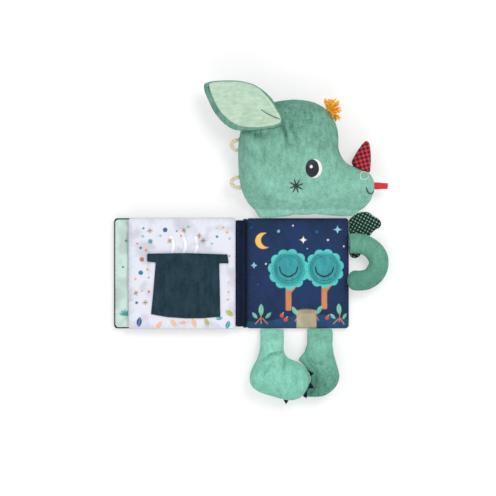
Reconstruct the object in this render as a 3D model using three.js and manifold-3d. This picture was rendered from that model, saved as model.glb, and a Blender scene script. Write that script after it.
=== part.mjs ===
import * as THREE from 'three';
import { mergeVertices } from 'three/addons/utils/BufferGeometryUtils.js';
import Module from 'manifold-3d';

const wasm = await Module();
wasm.setup();

// Crinkle cloth book, lying open on its back. Origin at the centre of the back cover's flat underside.
// +X runs to the fore-edge, +Y to the head, +Z up to the reader.

// Driving dimensions, in millimetres
const coverWidth = 129.2;
const coverHeight = 139;
const coverThickness = 10;
const leafWidth = 134.5;
const leafHeight = 140;
const leafThickness = 8;
const cornerRadius = 7;
const sideBow = 0.5;
const edgeRound = 12;
const seamEdge = 2;
const fabricWall = 1.2;
const filmThickness = 0.4;
const wadInset = 6.5;
const gap = 0.35;
const rimGap = 0.3;
const overrun = 2;

const spineWidth = 34;
const spineThickness = 2.4;
const spineHeight = 133;
const hingePlay = 0.6;
const stripRun = 11;
const stripThickness = 1.6;
const stripHeight = 134;
const stripFootRise = 0.6;

const pocketBrimWidth = 102;
const pocketBrimHeight = 10;
const pocketCrownWidth = 80;
const pocketBaseWidth = 86;
const pocketHeight = 67;
const pocketThickness = 1.8;
const pocketGape = 2.4;
const pocketMouthY = 24.5;
const pocketFromFold = 59;

const flapWidth = 36;
const flapHeight = 36;
const flapThickness = 2.6;
const flapSeamWidth = 21;
const flapSeamY = 23;
const leftFlapShare = -0.089;
const rightFlapShare = 0.2593;

const headWidth = 173;
const headHeight = 148;
const headMiddle = 24;
const headRise = 30;
const headRound = 42;
const neckMiddle = 5.6;
const neckRun = 42;
const headLeft = -75.6;

const earLength = 97;
const earBreadth = 61;
const earThickness = 5;
const earRootZ = 57;
const earTipZ = 34;
const earTipX = -117.5;
const earLowY = 180;
const earLiningThickness = 1.6;

const hornLength = 33;
const hornRadius = 12.4;
const hornSink = 7;
const tuftRadius = 11;
const tuftLobe = 1.6;
const ribbonLength = 18;
const ribbonWidth = 8;
const ribbonWall = 1.4;
const ribbonSink = 4;
const maneCordDiameter = 5;
const maneReach = 9;
const maneSpan = 13;

const scarfLength = 60;
const scarfBreadth = 40;
const scarfThickness = 2;
const scarfLift = 0.4;

const armHalfWidth = 12.3;
const armHalfThickness = 10.4;
const armMiddle = 13.8;
const handMiddle = 20.5;
const handHalfThickness = 8.6;
const armReach = 50;
const armDrop = 47;
const armRootY = 37.9;

const legThickness = 24;
const footThickness = 34;
const leftFootWidth = 77.5;
const leftLegLength = 89.4;
const leftLegX = -61.3;
const rightFootWidth = 44.4;
const rightLegLength = 85;
const rightLegX = 8.1;
const legRound = 16;
const legRootMiddle = 6;
const legRootRun = 24;

const tabLength = 6.6;
const tabSink = 1.4;
const tabThickness = 1.2;

const patchRadius = 6;
const patchThickness = 1.1;
const patchGap = 0.3;
const coverPatchSize = 20;

// Places that follow from them
const seamZ = coverThickness / 2;
const halfSeam = seamEdge / 2;
const coverRight = coverWidth / 2;
const coverLeft = -coverRight;
const coverTop = coverHeight / 2;
const spineAxisX = coverLeft - hingePlay - spineThickness / 2;
const spineAxisZ = seamZ - spineThickness / 2;
const coverAxisX = spineAxisX - spineWidth;
const frontCoverX = coverAxisX - spineThickness / 2 - hingePlay - coverWidth / 2;
const leafSeamZ = coverThickness + gap + leafThickness / 2;
const leafFoldX = spineAxisX - stripRun - hingePlay;
const leafX = leafFoldX - leafWidth / 2;
const leafTopZ = leafSeamZ + leafThickness / 2;
const edgeGap = 0.3;
const neckY = coverTop + edgeGap;
const hipY = -coverTop - edgeGap;

// Colours and finishes
const finish = (color, roughness = 0.9) => new THREE.MeshStandardMaterial({ color, roughness, metalness: 0 });
const plush = finish(0x6fae96);
const palePlush = finish(0x86c4ab);
const navyCotton = finish(0x27375f);
const darkCotton = finish(0x22343c);
const whiteCotton = finish(0xe9e8f1);
const mintCotton = finish(0xa9d9c4);
const slateVelour = finish(0x2f4a55);
const tealVelour = finish(0x3e9fa5);
const satin = finish(0xaedcc8, 0.5);
const wadding = finish(0xf4f2ec);
const film = finish(0xd8d8d8, 0.25);
const redGingham = finish(0xb0303c);
const greenGingham = finish(0x2c6a52);
const orangeYarn = finish(0xf2a12c);
const redRibbon = finish(0xd4202f, 0.5);
const creamCord = finish(0xefe6cf);
const hookTape = finish(0x2a3548);

// Rounded swelling: 0 at a seam, 1 at full height
const swell = (distance, run) => {
  const share = Math.min(Math.max(distance / run, 0), 1);
  return Math.sqrt(1 - (1 - share) ** 2);
};
const ease = (distance, run) => Math.sin((Math.PI / 2) * Math.min(Math.max(distance / run, 0), 1));
const smooth = (value, from, to) => {
  const share = Math.min(Math.max((value - from) / (to - from), 0), 1);
  return share * share * (3 - 2 * share);
};

const distanceToEdge = (x, y, edge) => {
  let nearest = Infinity;
  edge.forEach(([ax, ay], i) => {
    const [bx, by] = edge[(i + 1) % edge.length];
    const dx = bx - ax;
    const dy = by - ay;
    const along = ((x - ax) * dx + (y - ay) * dy) / (dx * dx + dy * dy);
    const t = Math.min(Math.max(along, 0), 1);
    nearest = Math.min(nearest, Math.hypot(x - ax - t * dx, y - ay - t * dy));
  });
  return nearest;
};

const closedShape = (positions, triangles) => {
  const geometry = new THREE.BufferGeometry();
  geometry.setAttribute('position', new THREE.Float32BufferAttribute(positions, 3));
  geometry.setIndex(triangles);
  geometry.computeVertexNormals();
  return geometry;
};

// A sewn form: rings of the outline drawn in to its centre, with a surface above and one below
const ringShares = [1, 0.985, 0.945, 0.88, 0.78, 0.64, 0.42];
const turnsLeft = (edge) => edge.reduce((area, [x, y], i) => {
  const [nx, ny] = edge[(i + 1) % edge.length];
  return area + x * ny - nx * y;
}, 0) > 0;
const sewnForm = (outlinePoints, centre, topAt, bottomAt, rings = ringShares) => {
  const positions = [];
  const triangles = [];
  const edge = turnsLeft(outlinePoints) ? outlinePoints : [...outlinePoints].reverse();
  const count = edge.length;
  const addSurface = (heightAt) => {
    const start = positions.length / 3;
    rings.forEach((share) => {
      edge.forEach(([x, y]) => {
        const px = centre[0] + (x - centre[0]) * share;
        const py = centre[1] + (y - centre[1]) * share;
        positions.push(px, py, heightAt(px, py, share === 1 ? 0 : distanceToEdge(px, py, edge)));
      });
    });
    positions.push(centre[0], centre[1], heightAt(...centre, distanceToEdge(...centre, edge)));
    return start;
  };
  const fillSurface = (start, up) => {
    const face = (a, b, c) => (up ? triangles.push(a, b, c) : triangles.push(a, c, b));
    for (let ring = 0; ring < rings.length - 1; ring += 1) {
      for (let i = 0; i < count; i += 1) {
        const next = (i + 1) % count;
        const outer = start + ring * count;
        const inner = outer + count;
        face(outer + i, outer + next, inner + next);
        face(outer + i, inner + next, inner + i);
      }
    }
    const last = start + (rings.length - 1) * count;
    const middle = start + rings.length * count;
    for (let i = 0; i < count; i += 1) face(last + i, last + ((i + 1) % count), middle);
  };
  const top = addSurface(topAt);
  const bottom = addSurface(bottomAt);
  fillSurface(top, true);
  fillSurface(bottom, false);
  for (let i = 0; i < count; i += 1) {
    const next = (i + 1) % count;
    triangles.push(bottom + i, bottom + next, top + next, bottom + i, top + next, top + i);
  }
  return closedShape(positions, triangles);
};

// Smooth closed outline through chosen points, given as shares of a width and a height
const outline = (shares, width, height, left, low, count) => {
  const points = shares.map(([x, y]) => new THREE.Vector3(left + x * width, low + y * height, 0));
  const curve = new THREE.CatmullRomCurve3(points, true, 'centripetal');
  return curve.getSpacedPoints(count).slice(0, count).map((p) => [p.x, Math.max(p.y, low)]);
};

// Page outline: rounded corners, sides drawn in a little between them
const cornerSteps = 3;
const pageRingShares = [1, 0.97, 0.92, 0.83];
const sideShares = [0.25, 0.5, 0.75];
const pageEdge = (width, height, x = 0, inset = 0) => {
  const halfW = width / 2 - inset;
  const halfH = height / 2 - inset;
  const r = Math.max(cornerRadius - inset / 2, gap);
  const edge = [];
  const corners = [[1, -1, -90], [1, 1, 0], [-1, 1, 90], [-1, -1, 180]];
  corners.forEach(([sx, sy, start], k) => {
    for (let i = 0; i <= cornerSteps; i += 1) {
      const angle = THREE.MathUtils.degToRad(start + (90 * i) / cornerSteps);
      edge.push([x + sx * (halfW - r) + r * Math.cos(angle), sy * (halfH - r) + r * Math.sin(angle)]);
    }
    const [nx, ny] = [corners[(k + 1) % 4][0], corners[(k + 1) % 4][1]];
    sideShares.forEach((share) => {
      const bow = sideBow * Math.sin(Math.PI * share);
      const along = 1 - 2 * share;
      if (sx === nx) edge.push([x + sx * (halfW - bow), sy * (halfH - r) * along]);
      else edge.push([x + sx * (halfW - r) * along, ny * (halfH - bow)]);
    });
  });
  return edge;
};

const group = new THREE.Group();
const add = (name, geometry, material) => {
  const mesh = new THREE.Mesh(geometry, material);
  mesh.name = name;
  group.add(mesh);
  return mesh;
};

// Booleans
const toSolid = (geometry) => {
  const bare = geometry.clone();
  Object.keys(bare.attributes).forEach((key) => key !== 'position' && bare.deleteAttribute(key));
  const welded = mergeVertices(bare, 1e-4);
  const vertProperties = new Float32Array(welded.attributes.position.array);
  const triVerts = new Uint32Array(welded.index.array);
  return new wasm.Manifold(new wasm.Mesh({ numProp: 3, vertProperties, triVerts }));
};
const toGeometry = (solid) => {
  const mesh = solid.getMesh();
  return closedShape(Array.from(mesh.vertProperties), Array.from(mesh.triVerts));
};
const cut = (geometry, ...tools) => {
  const solid = tools.reduce((rest, tool) => rest.subtract(toSolid(tool)), toSolid(geometry));
  return toGeometry(solid);
};

// One padded page: two fabric panels sewn at the rim, with wadding and crinkle film between them
const paddedPage = ({ names, width, height, thickness, x, seam, materials, flatBack }) => {
  const edge = pageEdge(width, height, x);
  const centre = [x, 0];
  const below = seam - halfSeam;
  const above = seam + halfSeam;
  const rise = thickness / 2 - halfSeam;
  const run = edgeRound;
  const outerLow = (d) => below - rise * swell(d, run);
  const outerHigh = (d) => above + rise * swell(d, run);
  const innerLow = (d) => Math.min(seam - rimGap / 2, outerLow(d) + fabricWall);
  const innerHigh = (d) => Math.max(seam + rimGap / 2, outerHigh(d) - fabricWall);
  const byDistance = (heightAt) => (px, py, d) => heightAt(d);
  let back = sewnForm(edge, centre, byDistance(innerLow), byDistance(outerLow), pageRingShares);
  if (flatBack) back = cut(back, flatBack);
  add(names.back, back, materials.back);
  const face = sewnForm(edge, centre, byDistance(outerHigh), byDistance(innerHigh), pageRingShares);
  add(names.face, face, materials.face);
  const padEdge = pageEdge(width, height, x, wadInset);
  const padRings = [1, 0.94, 0.86];
  const filmHigh = (d) => innerHigh(d + wadInset) - gap;
  const padHigh = (d) => filmHigh(d) - filmThickness - gap;
  const padLow = (d) => innerLow(d + wadInset) + gap;
  const filmLow = (d) => filmHigh(d) - filmThickness;
  add(names.wadding, sewnForm(padEdge, centre, byDistance(padHigh), byDistance(padLow), padRings), wadding);
  add(names.film, sewnForm(padEdge, centre, byDistance(filmHigh), byDistance(filmLow), padRings), film);
};

const box = (width, depth, height, x, y, z) => {
  const geometry = new THREE.BoxGeometry(width, depth, height);
  geometry.translate(x, y, z);
  return geometry;
};

// Back cover, with the night page as its face
paddedPage({
  names: {
    back: 'back_cover_panel',
    face: 'night_page_panel',
    wadding: 'back_cover_wadding',
    film: 'back_cover_crinkle_film',
  },
  width: coverWidth,
  height: coverHeight,
  thickness: coverThickness,
  x: 0,
  seam: seamZ,
  materials: { back: darkCotton, face: navyCotton },
});

// Front cover, with a square of loop tape let into its outside
const patchX = frontCoverX - coverWidth / 4;
const recessSize = coverPatchSize + 2 * patchGap;
const recessHeight = (fabricWall - patchGap) / 2;
const patchRecess = box(recessSize, recessSize, 2 * recessHeight, patchX, 0, 0);
const coverPatchThickness = recessHeight - patchGap / 2;
add(
  'cover_loop_patch',
  box(coverPatchSize, coverPatchSize, coverPatchThickness, patchX, 0, coverPatchThickness / 2),
  hookTape,
);
paddedPage({
  names: {
    back: 'front_cover_panel',
    face: 'front_cover_lining',
    wadding: 'front_cover_wadding',
    film: 'front_cover_crinkle_film',
  },
  width: coverWidth,
  height: coverHeight,
  thickness: coverThickness,
  x: frontCoverX,
  seam: seamZ,
  materials: { back: darkCotton, face: mintCotton },
  flatBack: patchRecess,
});

// Leaf, with the pocket page as its face
paddedPage({
  names: {
    back: 'leaf_back_panel',
    face: 'leaf_front_panel',
    wadding: 'leaf_wadding',
    film: 'leaf_crinkle_film',
  },
  width: leafWidth,
  height: leafHeight,
  thickness: leafThickness,
  x: leafX,
  seam: leafSeamZ,
  materials: { back: whiteCotton, face: whiteCotton },
});

// Extrusion of a section drawn in X and Z, centred along Y
const alongY = (section, length) => {
  const shape = new THREE.Shape(section.map(([x, z]) => new THREE.Vector2(x, z)));
  const geometry = new THREE.ExtrudeGeometry(shape, { depth: length, bevelEnabled: false, steps: 1 });
  geometry.rotateX(Math.PI / 2);
  geometry.translate(0, length / 2, 0);
  return geometry;
};

// Spine: a flat panel with rounded long edges, centred on both of its fold lines
const arc = (cx, cz, r, from, to, steps) => {
  const points = [];
  for (let i = 0; i <= steps; i += 1) {
    const angle = THREE.MathUtils.degToRad(from + ((to - from) * i) / steps);
    points.push([cx + r * Math.cos(angle), cz + r * Math.sin(angle)]);
  }
  return points;
};
const spineR = spineThickness / 2;
const spineSection = [
  ...arc(spineAxisX, spineAxisZ, spineR, -90, 90, 8),
  ...arc(coverAxisX, spineAxisZ, spineR, 90, 270, 8),
];
add('spine_panel', alongY(spineSection, spineHeight), darkCotton);

// Hinge strip: rises from the gutter seam and turns over to the leaf's sewn edge
const stripFoot = seamZ + stripFootRise;
const stripRise = leafSeamZ - stripFoot;
const stripFootX = coverLeft - gap - stripThickness / 2;
const stripEndX = leafFoldX + hingePlay;
const stripSpan = stripFootX - stripEndX;
const stripArc = (grow) => {
  const points = [];
  for (let i = 0; i <= 8; i += 1) {
    const angle = (Math.PI / 2) * (i / 8);
    const x = stripEndX + (stripSpan + grow) * Math.cos(angle);
    points.push([x, stripFoot + (stripRise + grow) * Math.sin(angle)]);
  }
  return points;
};
const stripSection = [...stripArc(stripThickness / 2), ...stripArc(-stripThickness / 2).reverse()];
add('leaf_hinge_strip', alongY(stripSection, stripHeight), navyCotton);

// Pocket with a top-hat outline, sewn to the leaf on three sides and gaping a little at its mouth
const pocketX = leafFoldX - pocketFromFold;
const pocketShares = [
  [-0.5, -1, 'base'], [0, -1, 'base'], [0.5, -1, 'base'],
  [0.5, -0.75, 'mid'], [0.5, -0.5, 'mid'], [0.5, -0.25, 'crown'], [0.5, -0.02, 'crown'],
  [0.47, 0, 'brim'], [0.5, 0.3, 'brim'], [0.5, 0.8, 'brim'], [0.48, 1, 'brim'],
  [0.25, 1, 'brim'], [0, 1, 'brim'], [-0.25, 1, 'brim'],
  [-0.48, 1, 'brim'], [-0.5, 0.8, 'brim'], [-0.5, 0.3, 'brim'], [-0.47, 0, 'brim'],
  [-0.5, -0.02, 'crown'], [-0.5, -0.25, 'crown'], [-0.5, -0.5, 'mid'], [-0.5, -0.75, 'mid'],
];
const pocketWidths = {
  base: pocketBaseWidth,
  mid: (pocketBaseWidth + pocketCrownWidth) / 2,
  crown: pocketCrownWidth,
  brim: pocketBrimWidth,
};
const pocketBodyTop = pocketMouthY - pocketBrimHeight;
const pocketBodyHeight = pocketHeight - pocketBrimHeight;
const pocketEdge = pocketShares.map(([x, y, row]) => [
  pocketX + x * pocketWidths[row],
  pocketBodyTop + y * (row === 'brim' ? pocketBrimHeight : pocketBodyHeight),
]);
const pocketBottom = (x, y) => {
  const open = smooth(y, pocketBodyTop - pocketBodyHeight / 2, pocketMouthY);
  const middle = swell(pocketCrownWidth / 2 - Math.abs(x - pocketX), pocketCrownWidth / 2);
  return leafTopZ + gap + pocketGape * open * middle;
};
const pocketCentre = [pocketX, pocketBodyTop - pocketBodyHeight * 0.05];
const pocketTop = (x, y, d) => pocketBottom(x, y) + pocketThickness * (0.6 + 0.4 * swell(d, pocketThickness));
const pocketRings = [1, 0.97, 0.7, 0.4];
add('hat_pocket', sewnForm(pocketEdge, pocketCentre, pocketTop, pocketBottom, pocketRings), slateVelour);

// Lift flaps: round, sewn along a flat top edge
const flapSteps = 22;
const addFlap = (name, x) => {
  const seamAngle = Math.asin(Math.min(flapSeamWidth / flapWidth, 1));
  const seamDrop = Math.cos(seamAngle);
  const edge = [];
  for (let i = 0; i <= flapSteps; i += 1) {
    const angle = Math.PI / 2 + seamAngle + ((2 * Math.PI - 2 * seamAngle) * i) / flapSteps;
    const y = (Math.sin(angle) - seamDrop) / (1 + seamDrop);
    edge.push([x + (flapWidth / 2) * Math.cos(angle), flapSeamY + flapHeight * y]);
  }
  const low = coverThickness + gap;
  const top = (px, py, d) => low + flapThickness * (0.45 + 0.55 * swell(d, flapThickness * 2));
  add(name, sewnForm(edge, [x, flapSeamY - flapHeight / 2], top, () => low, [1, 0.94, 0.8, 0.4]), tealVelour);
};
addFlap('left_lift_flap', leftFlapShare * coverWidth);
addFlap('right_lift_flap', rightFlapShare * coverWidth);

// Head: a stuffed form in profile, drawn in at the neck seam
const headShares = [
  [0.25, 0], [0.36, 0], [0.5, 0], [0.64, 0], [0.76, 0], [0.86, 0.022], [0.94, 0.075], [0.985, 0.16],
  [1, 0.255], [0.985, 0.335], [0.945, 0.392], [0.88, 0.425], [0.815, 0.468], [0.775, 0.53],
  [0.752, 0.6], [0.745, 0.69], [0.722, 0.79], [0.674, 0.882], [0.604, 0.952], [0.52, 0.99], [0.43, 1],
  [0.34, 0.995], [0.25, 0.975], [0.15, 0.93], [0.065, 0.855], [0.018, 0.745], [0, 0.6], [0, 0.43],
  [0.014, 0.26], [0.045, 0.157], [0.11, 0.05], [0.18, 0.008],
];
const headLow = neckY;
const headShape = (grow) => {
  const width = headWidth + 2 * grow;
  const height = headHeight + grow;
  const edge = outline(headShares, width, height, headLeft - grow, headLow, 48);
  const middle = (y) => neckMiddle + (headMiddle - neckMiddle) * smooth(y - headLow, 0, neckRun);
  const top = (x, y, d) => {
    const neck = ease(y - headLow, neckRun);
    return middle(y) + gap + grow + headRise * swell(d, headRound) * neck;
  };
  const bottom = (x, y, d) => {
    const z = middle(y);
    const fullness = 0.45 + 0.55 * ease(y - headLow, neckRun / 2);
    return z - gap - grow - (z - gap) * swell(d, headRound * 0.75) * fullness;
  };
  const centre = [headLeft + headWidth * 0.44, headLow + headHeight * 0.46];
  return sewnForm(edge, centre, top, bottom);
};
add('head', headShape(0), plush);
const headCutter = headShape(gap);

// Ear: a soft shell with a satin lining let into its face
const earShares = [
  [0, 0.9], [0.13, 0.985], [0.34, 1], [0.58, 0.955],
  [0.75, 0.82], [0.885, 0.58], [0.985, 0.24], [0.96, 0.085],
  [0.74, 0.01], [0.48, 0.035], [0.36, 0.02], [0.225, 0.2], [0.08, 0.52], [0.012, 0.76],
];
const earZ = (x) => earTipZ + (earRootZ - earTipZ) * smooth(x, earTipX, earTipX + earLength);
const earEdge = outline(earShares, earLength, earBreadth, earTipX, earLowY, 32);
const earCentre = [earTipX + earLength * 0.5, earLowY + earBreadth * 0.5];
const earDish = (d) => earThickness * 0.35 * swell(Math.max(d - earBreadth * 0.1, 0), earBreadth * 0.2);
const earTop = (x, y, d) => earZ(x) + (earThickness / 2) * swell(d, earThickness) - earDish(d) + gap;
const earBottom = (x, y, d) => earZ(x) - (earThickness / 2) * swell(d, earThickness);
add('ear_shell', sewnForm(earEdge, earCentre, earTop, earBottom), plush);
const liningShares = [
  [0.12, 0.8], [0.2, 0.9], [0.36, 0.93], [0.57, 0.89], [0.71, 0.77], [0.83, 0.56], [0.9, 0.3], [0.86, 0.18],
  [0.72, 0.12], [0.5, 0.14], [0.4, 0.15], [0.29, 0.27], [0.18, 0.5], [0.12, 0.68],
];
const liningEdge = outline(liningShares, earLength, earBreadth, earTipX, earLowY, 26);
const liningLow = (x, y) => earTop(x, y, distanceToEdge(x, y, earEdge)) + gap;
const liningFullness = (d) => 0.5 + 0.5 * swell(d, earLiningThickness);
const liningTop = (x, y, d) => liningLow(x, y) + earLiningThickness * liningFullness(d);
add('ear_lining', sewnForm(liningEdge, earCentre, liningTop, liningLow, [1, 0.95, 0.82, 0.6, 0.3]), satin);

// Small pieces sewn into the head's seam, each cut to the head behind it
const headPoint = (xShare, yShare, z = headMiddle) => [
  headLeft + xShare * headWidth, headLow + yShare * headHeight, z,
];
const hornProfile = [
  [0, 0], [1, 0], [0.97, 0.12], [0.8, 0.4], [0.55, 0.68], [0.3, 0.88], [0.12, 0.975], [0, 1],
];
const horn = new THREE.LatheGeometry(
  hornProfile.map(([r, l]) => new THREE.Vector2(r * hornRadius, l * (hornLength + hornSink) - hornSink)),
  24,
);
horn.rotateZ(THREE.MathUtils.degToRad(-15));
horn.translate(...headPoint(0.885, 0.4255));
add('nose_horn', cut(horn, headCutter), redGingham);

const tuft = new THREE.SphereGeometry(tuftRadius, 20, 14);
const tuftPosition = tuft.attributes.position;
for (let i = 0; i < tuftPosition.count; i += 1) {
  const v = new THREE.Vector3().fromBufferAttribute(tuftPosition, i);
  const lobes = Math.sin(5 * Math.atan2(v.y, v.x)) * Math.sin((4 * Math.PI * v.z) / (2 * tuftRadius));
  const flat = 1 - Math.abs(v.z) / tuftRadius;
  v.multiplyScalar(1 + (tuftLobe / tuftRadius) * lobes * flat);
  tuftPosition.setXYZ(i, v.x, v.y, v.z);
}
tuft.translate(...headPoint(0.69, 0.93));
add('yarn_tuft', cut(tuft, headCutter), orangeYarn);

// A band or cord bent along a flat path
const sweep = (points, section, steps) => {
  const path = new THREE.CatmullRomCurve3(points.map((p) => new THREE.Vector3(...p)), false, 'centripetal');
  const shape = new THREE.Shape(section.map(([x, y]) => new THREE.Vector2(x, y)));
  return new THREE.ExtrudeGeometry(shape, { extrudePath: path, steps, bevelEnabled: false });
};
const roundSection = (radius, sides) => arc(0, 0, radius, 0, 360 - 360 / sides, sides - 1);
const [ribbonX, ribbonY, ribbonZ] = headPoint(0.995, 0.27);
const ribbonGape = ribbonWidth / 2 - ribbonWall / 2;
const ribbonSection = [
  [-ribbonWidth / 2, -ribbonWall / 2], [ribbonWidth / 2, -ribbonWall / 2],
  [ribbonWidth / 2, ribbonWall / 2], [-ribbonWidth / 2, ribbonWall / 2],
];
const ribbonPath = [[-ribbonSink, 0], [ribbonLength * 0.3, 0.6], [ribbonLength * 0.75, 1], [ribbonLength, 0],
  [ribbonLength * 0.75, -1], [ribbonLength * 0.3, -0.6], [-ribbonSink, -0.4]];
const ribbonBand = sweep(
  ribbonPath.map(([along, side]) => [ribbonX + along, ribbonY + side * ribbonGape, ribbonZ]),
  ribbonSection,
  24,
);
const ribbonBlock = box(
  2 * ribbonSink, 2 * ribbonWidth, 2 * ribbonWidth, ribbonX - ribbonSink, ribbonY, ribbonZ,
);
add('mouth_ribbon_loop', cut(ribbonBand, headCutter, ribbonBlock), redRibbon);

const maneLoop = (name, yShare) => {
  const [, y, z] = headPoint(0, yShare);
  const x = headLeft;
  const points = [];
  const sink = maneCordDiameter;
  points.push([x + sink, y + maneSpan / 2, z]);
  for (let i = 0; i <= 6; i += 1) {
    const angle = Math.PI / 2 + (Math.PI * i) / 6;
    const reach = maneReach - maneCordDiameter / 2;
    points.push([x + reach * Math.cos(angle), y + (maneSpan / 2) * Math.sin(angle), z]);
  }
  points.push([x + sink, y - maneSpan / 2, z]);
  return [name, points];
};
[maneLoop('upper_mane_loop', 0.61), maneLoop('lower_mane_loop', 0.295)].forEach(([name, points]) => {
  add(name, cut(sweep(points, roundSection(maneCordDiameter / 2, 10), 24), headCutter), creamCord);
});

// Scarf end: a flat leaf of cloth that lies beneath the arm
const scarfShares = [
  [0, 0.78], [0.12, 0.9], [0.3, 0.97], [0.5, 1], [0.72, 0.95], [0.9, 0.86], [1, 0.74], [0.99, 0.62],
  [0.9, 0.42], [0.7, 0.22], [0.4, 0.06], [0.2, 0], [0.08, 0.05], [0, 0.3],
];
const scarfLeft = coverRight + edgeGap;
const scarfLow = coverTop - 0.9 * scarfLength;
const scarfEdge = outline(scarfShares, scarfBreadth, scarfLength, scarfLeft, scarfLow, 32);
const scarfCentre = [coverRight + edgeGap + scarfBreadth * 0.42, coverTop - scarfLength * 0.36];
const scarfTop = scarfLift + scarfThickness;
const scarfForm = sewnForm(scarfEdge, scarfCentre, () => scarfTop, () => scarfLift, [1, 0.5]);
add('scarf_end', scarfForm, greenGingham);

// Arm: a stuffed tube bent round into a hook, its hand over the night page's edge
const armShares = [
  [0, 0], [0.2, 0.005], [0.38, 0.05], [0.54, 0.17], [0.62, 0.33], [0.63, 0.5], [0.58, 0.68],
  [0.45, 0.85], [0.28, 0.98], [0.1, 1], [0, 0.98],
];
const armStartX = coverRight + edgeGap;
const armPath = new THREE.CatmullRomCurve3(
  armShares.map(([x, y]) => new THREE.Vector3(armStartX + x * armReach, armRootY - y * armDrop, 0)),
  false,
  'centripetal',
);
const armRings = 26;
const armSides = 14;
const armGeometry = () => {
  const positions = [];
  const triangles = [];
  for (let k = 0; k <= armRings; k += 1) {
    const t = k / armRings;
    const along = t < 0.86 ? t : 0.86 + 0.14 * Math.sin((Math.PI / 2) * ((t - 0.86) / 0.14));
    const centre = armPath.getPointAt(along);
    const tangent = armPath.getTangentAt(along);
    const handShare = smooth(along, 0.62, 0.92);
    const tip = k === armRings ? 0.25 : Math.sqrt(1 - Math.max((along - 0.82) / 0.18, 0) ** 2 * 0.95);
    const root = 0.72 + 0.28 * smooth(along, 0, 0.16);
    const halfWidth = armHalfWidth * tip * (0.8 + 0.2 * smooth(along, 0, 0.12));
    const halfDepth = (armHalfThickness + (handHalfThickness - armHalfThickness) * handShare) * tip * root;
    const z = armMiddle + (handMiddle - armMiddle) * handShare;
    for (let i = 0; i < armSides; i += 1) {
      const angle = (2 * Math.PI * i) / armSides;
      const across = halfWidth * Math.cos(angle);
      positions.push(
        centre.x - tangent.y * across, centre.y + tangent.x * across, z + halfDepth * Math.sin(angle),
      );
    }
  }
  const endCentre = (k) => {
    const c = positions.length / 3;
    let [x, y, z] = [0, 0, 0];
    for (let i = 0; i < armSides; i += 1) {
      const at = 3 * (k * armSides + i);
      x += positions[at] / armSides;
      y += positions[at + 1] / armSides;
      z += positions[at + 2] / armSides;
    }
    positions.push(x, y, z);
    return c;
  };
  for (let k = 0; k < armRings; k += 1) {
    for (let i = 0; i < armSides; i += 1) {
      const a = k * armSides + i;
      const b = k * armSides + ((i + 1) % armSides);
      triangles.push(a, b, b + armSides, a, b + armSides, a + armSides);
    }
  }
  const first = endCentre(0);
  const last = endCentre(armRings);
  for (let i = 0; i < armSides; i += 1) {
    const next = (i + 1) % armSides;
    triangles.push(first, next, i);
    triangles.push(last, armRings * armSides + i, armRings * armSides + next);
  }
  return closedShape(positions, triangles);
};
const handPatchAt = armPath.getPointAt(0.8);
const handPatchZ = armMiddle + (handMiddle - armMiddle) * smooth(0.8, 0.62, 0.92) - handHalfThickness;
const disc = (radius, low, high, at) => {
  const geometry = new THREE.CylinderGeometry(radius, radius, high - low, 24);
  geometry.rotateX(Math.PI / 2);
  geometry.translate(at.x, at.y, (low + high) / 2);
  return geometry;
};
const recessTop = handPatchZ + patchThickness + 2 * patchGap;
const handRecess = disc(patchRadius + patchGap, handPatchZ - overrun, recessTop, handPatchAt);
add('arm', cut(armGeometry(), handRecess), plush);
const handPatchTop = recessTop - patchGap;
const handPatch = disc(patchRadius, handPatchTop - patchThickness, handPatchTop, handPatchAt);
add('hand_hook_patch', handPatch, hookTape);

// Legs: stuffed, flat at the hip seam and full at the foot
const leftLegShares = [
  [0.165, 1], [0.165, 0.78], [0.12, 0.6], [0.02, 0.42], [0, 0.28], [0.06, 0.17], [0.21, 0.1], [0.36, 0.06],
  [0.52, 0.02], [0.66, 0], [0.78, 0.01], [0.88, 0.07], [0.96, 0.18], [1, 0.29], [0.965, 0.41], [0.89, 0.5],
  [0.77, 0.56], [0.655, 0.6], [0.595, 0.66], [0.575, 0.78], [0.575, 1],
];
const rightLegShares = [
  [0.09, 1], [0.08, 0.78], [0.01, 0.67], [0.02, 0.57], [0.2, 0.5], [0.31, 0.4], [0.335, 0.29], [0.32, 0.175],
  [0.23, 0.085], [0.16, 0.01], [0.4, 0], [0.6, 0.025], [0.78, 0.09], [0.93, 0.18], [1, 0.285], [0.96, 0.42],
  [0.86, 0.6], [0.81, 0.78], [0.8, 1],
];
const legForm = (shares, left, width, length, centreShare, grow = 0) => {
  const low = hipY - length;
  const points = shares.map(([x, y]) => new THREE.Vector3(left + x * width, low + y * length, 0));
  const curve = new THREE.CatmullRomCurve3(points, true, 'centripetal');
  const centre = [left + centreShare[0] * width, low + centreShare[1] * length];
  const edge = curve.getSpacedPoints(36).slice(0, 36).map((p) => {
    const reach = Math.hypot(p.x - centre[0], p.y - centre[1]);
    const share = 1 + grow / reach;
    return [centre[0] + (p.x - centre[0]) * share, Math.min(centre[1] + (p.y - centre[1]) * share, hipY)];
  });
  const root = (y) => ease(hipY - y, legRootRun);
  const footShare = (y) => smooth(hipY - y, length * 0.3, length * 0.6);
  const depth = (y) => legThickness + (footThickness - legThickness) * footShare(y);
  const middle = (y) => legRootMiddle + (depth(y) / 2 - legRootMiddle) * smooth(hipY - y, 0, legRootRun);
  const rootShare = (y, least) => least + (1 - least) * root(y);
  const rise = (y) => depth(y) - middle(y) - gap;
  const drop = (y) => middle(y) - gap;
  const top = (x, y, d) => middle(y) + gap + grow + rise(y) * swell(d, legRound) * rootShare(y, 0.12);
  const bottom = (x, y, d) => middle(y) - gap - grow - drop(y) * swell(d, legRound) * rootShare(y, 0.5);
  return sewnForm(edge, centre, top, bottom);
};
const leftLegForm = (grow) => {
  return legForm(leftLegShares, leftLegX, leftFootWidth, leftLegLength, [0.4, 0.3], grow);
};
add('left_leg', leftLegForm(0), palePlush);
const tabCutter = leftLegForm(gap);
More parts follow.
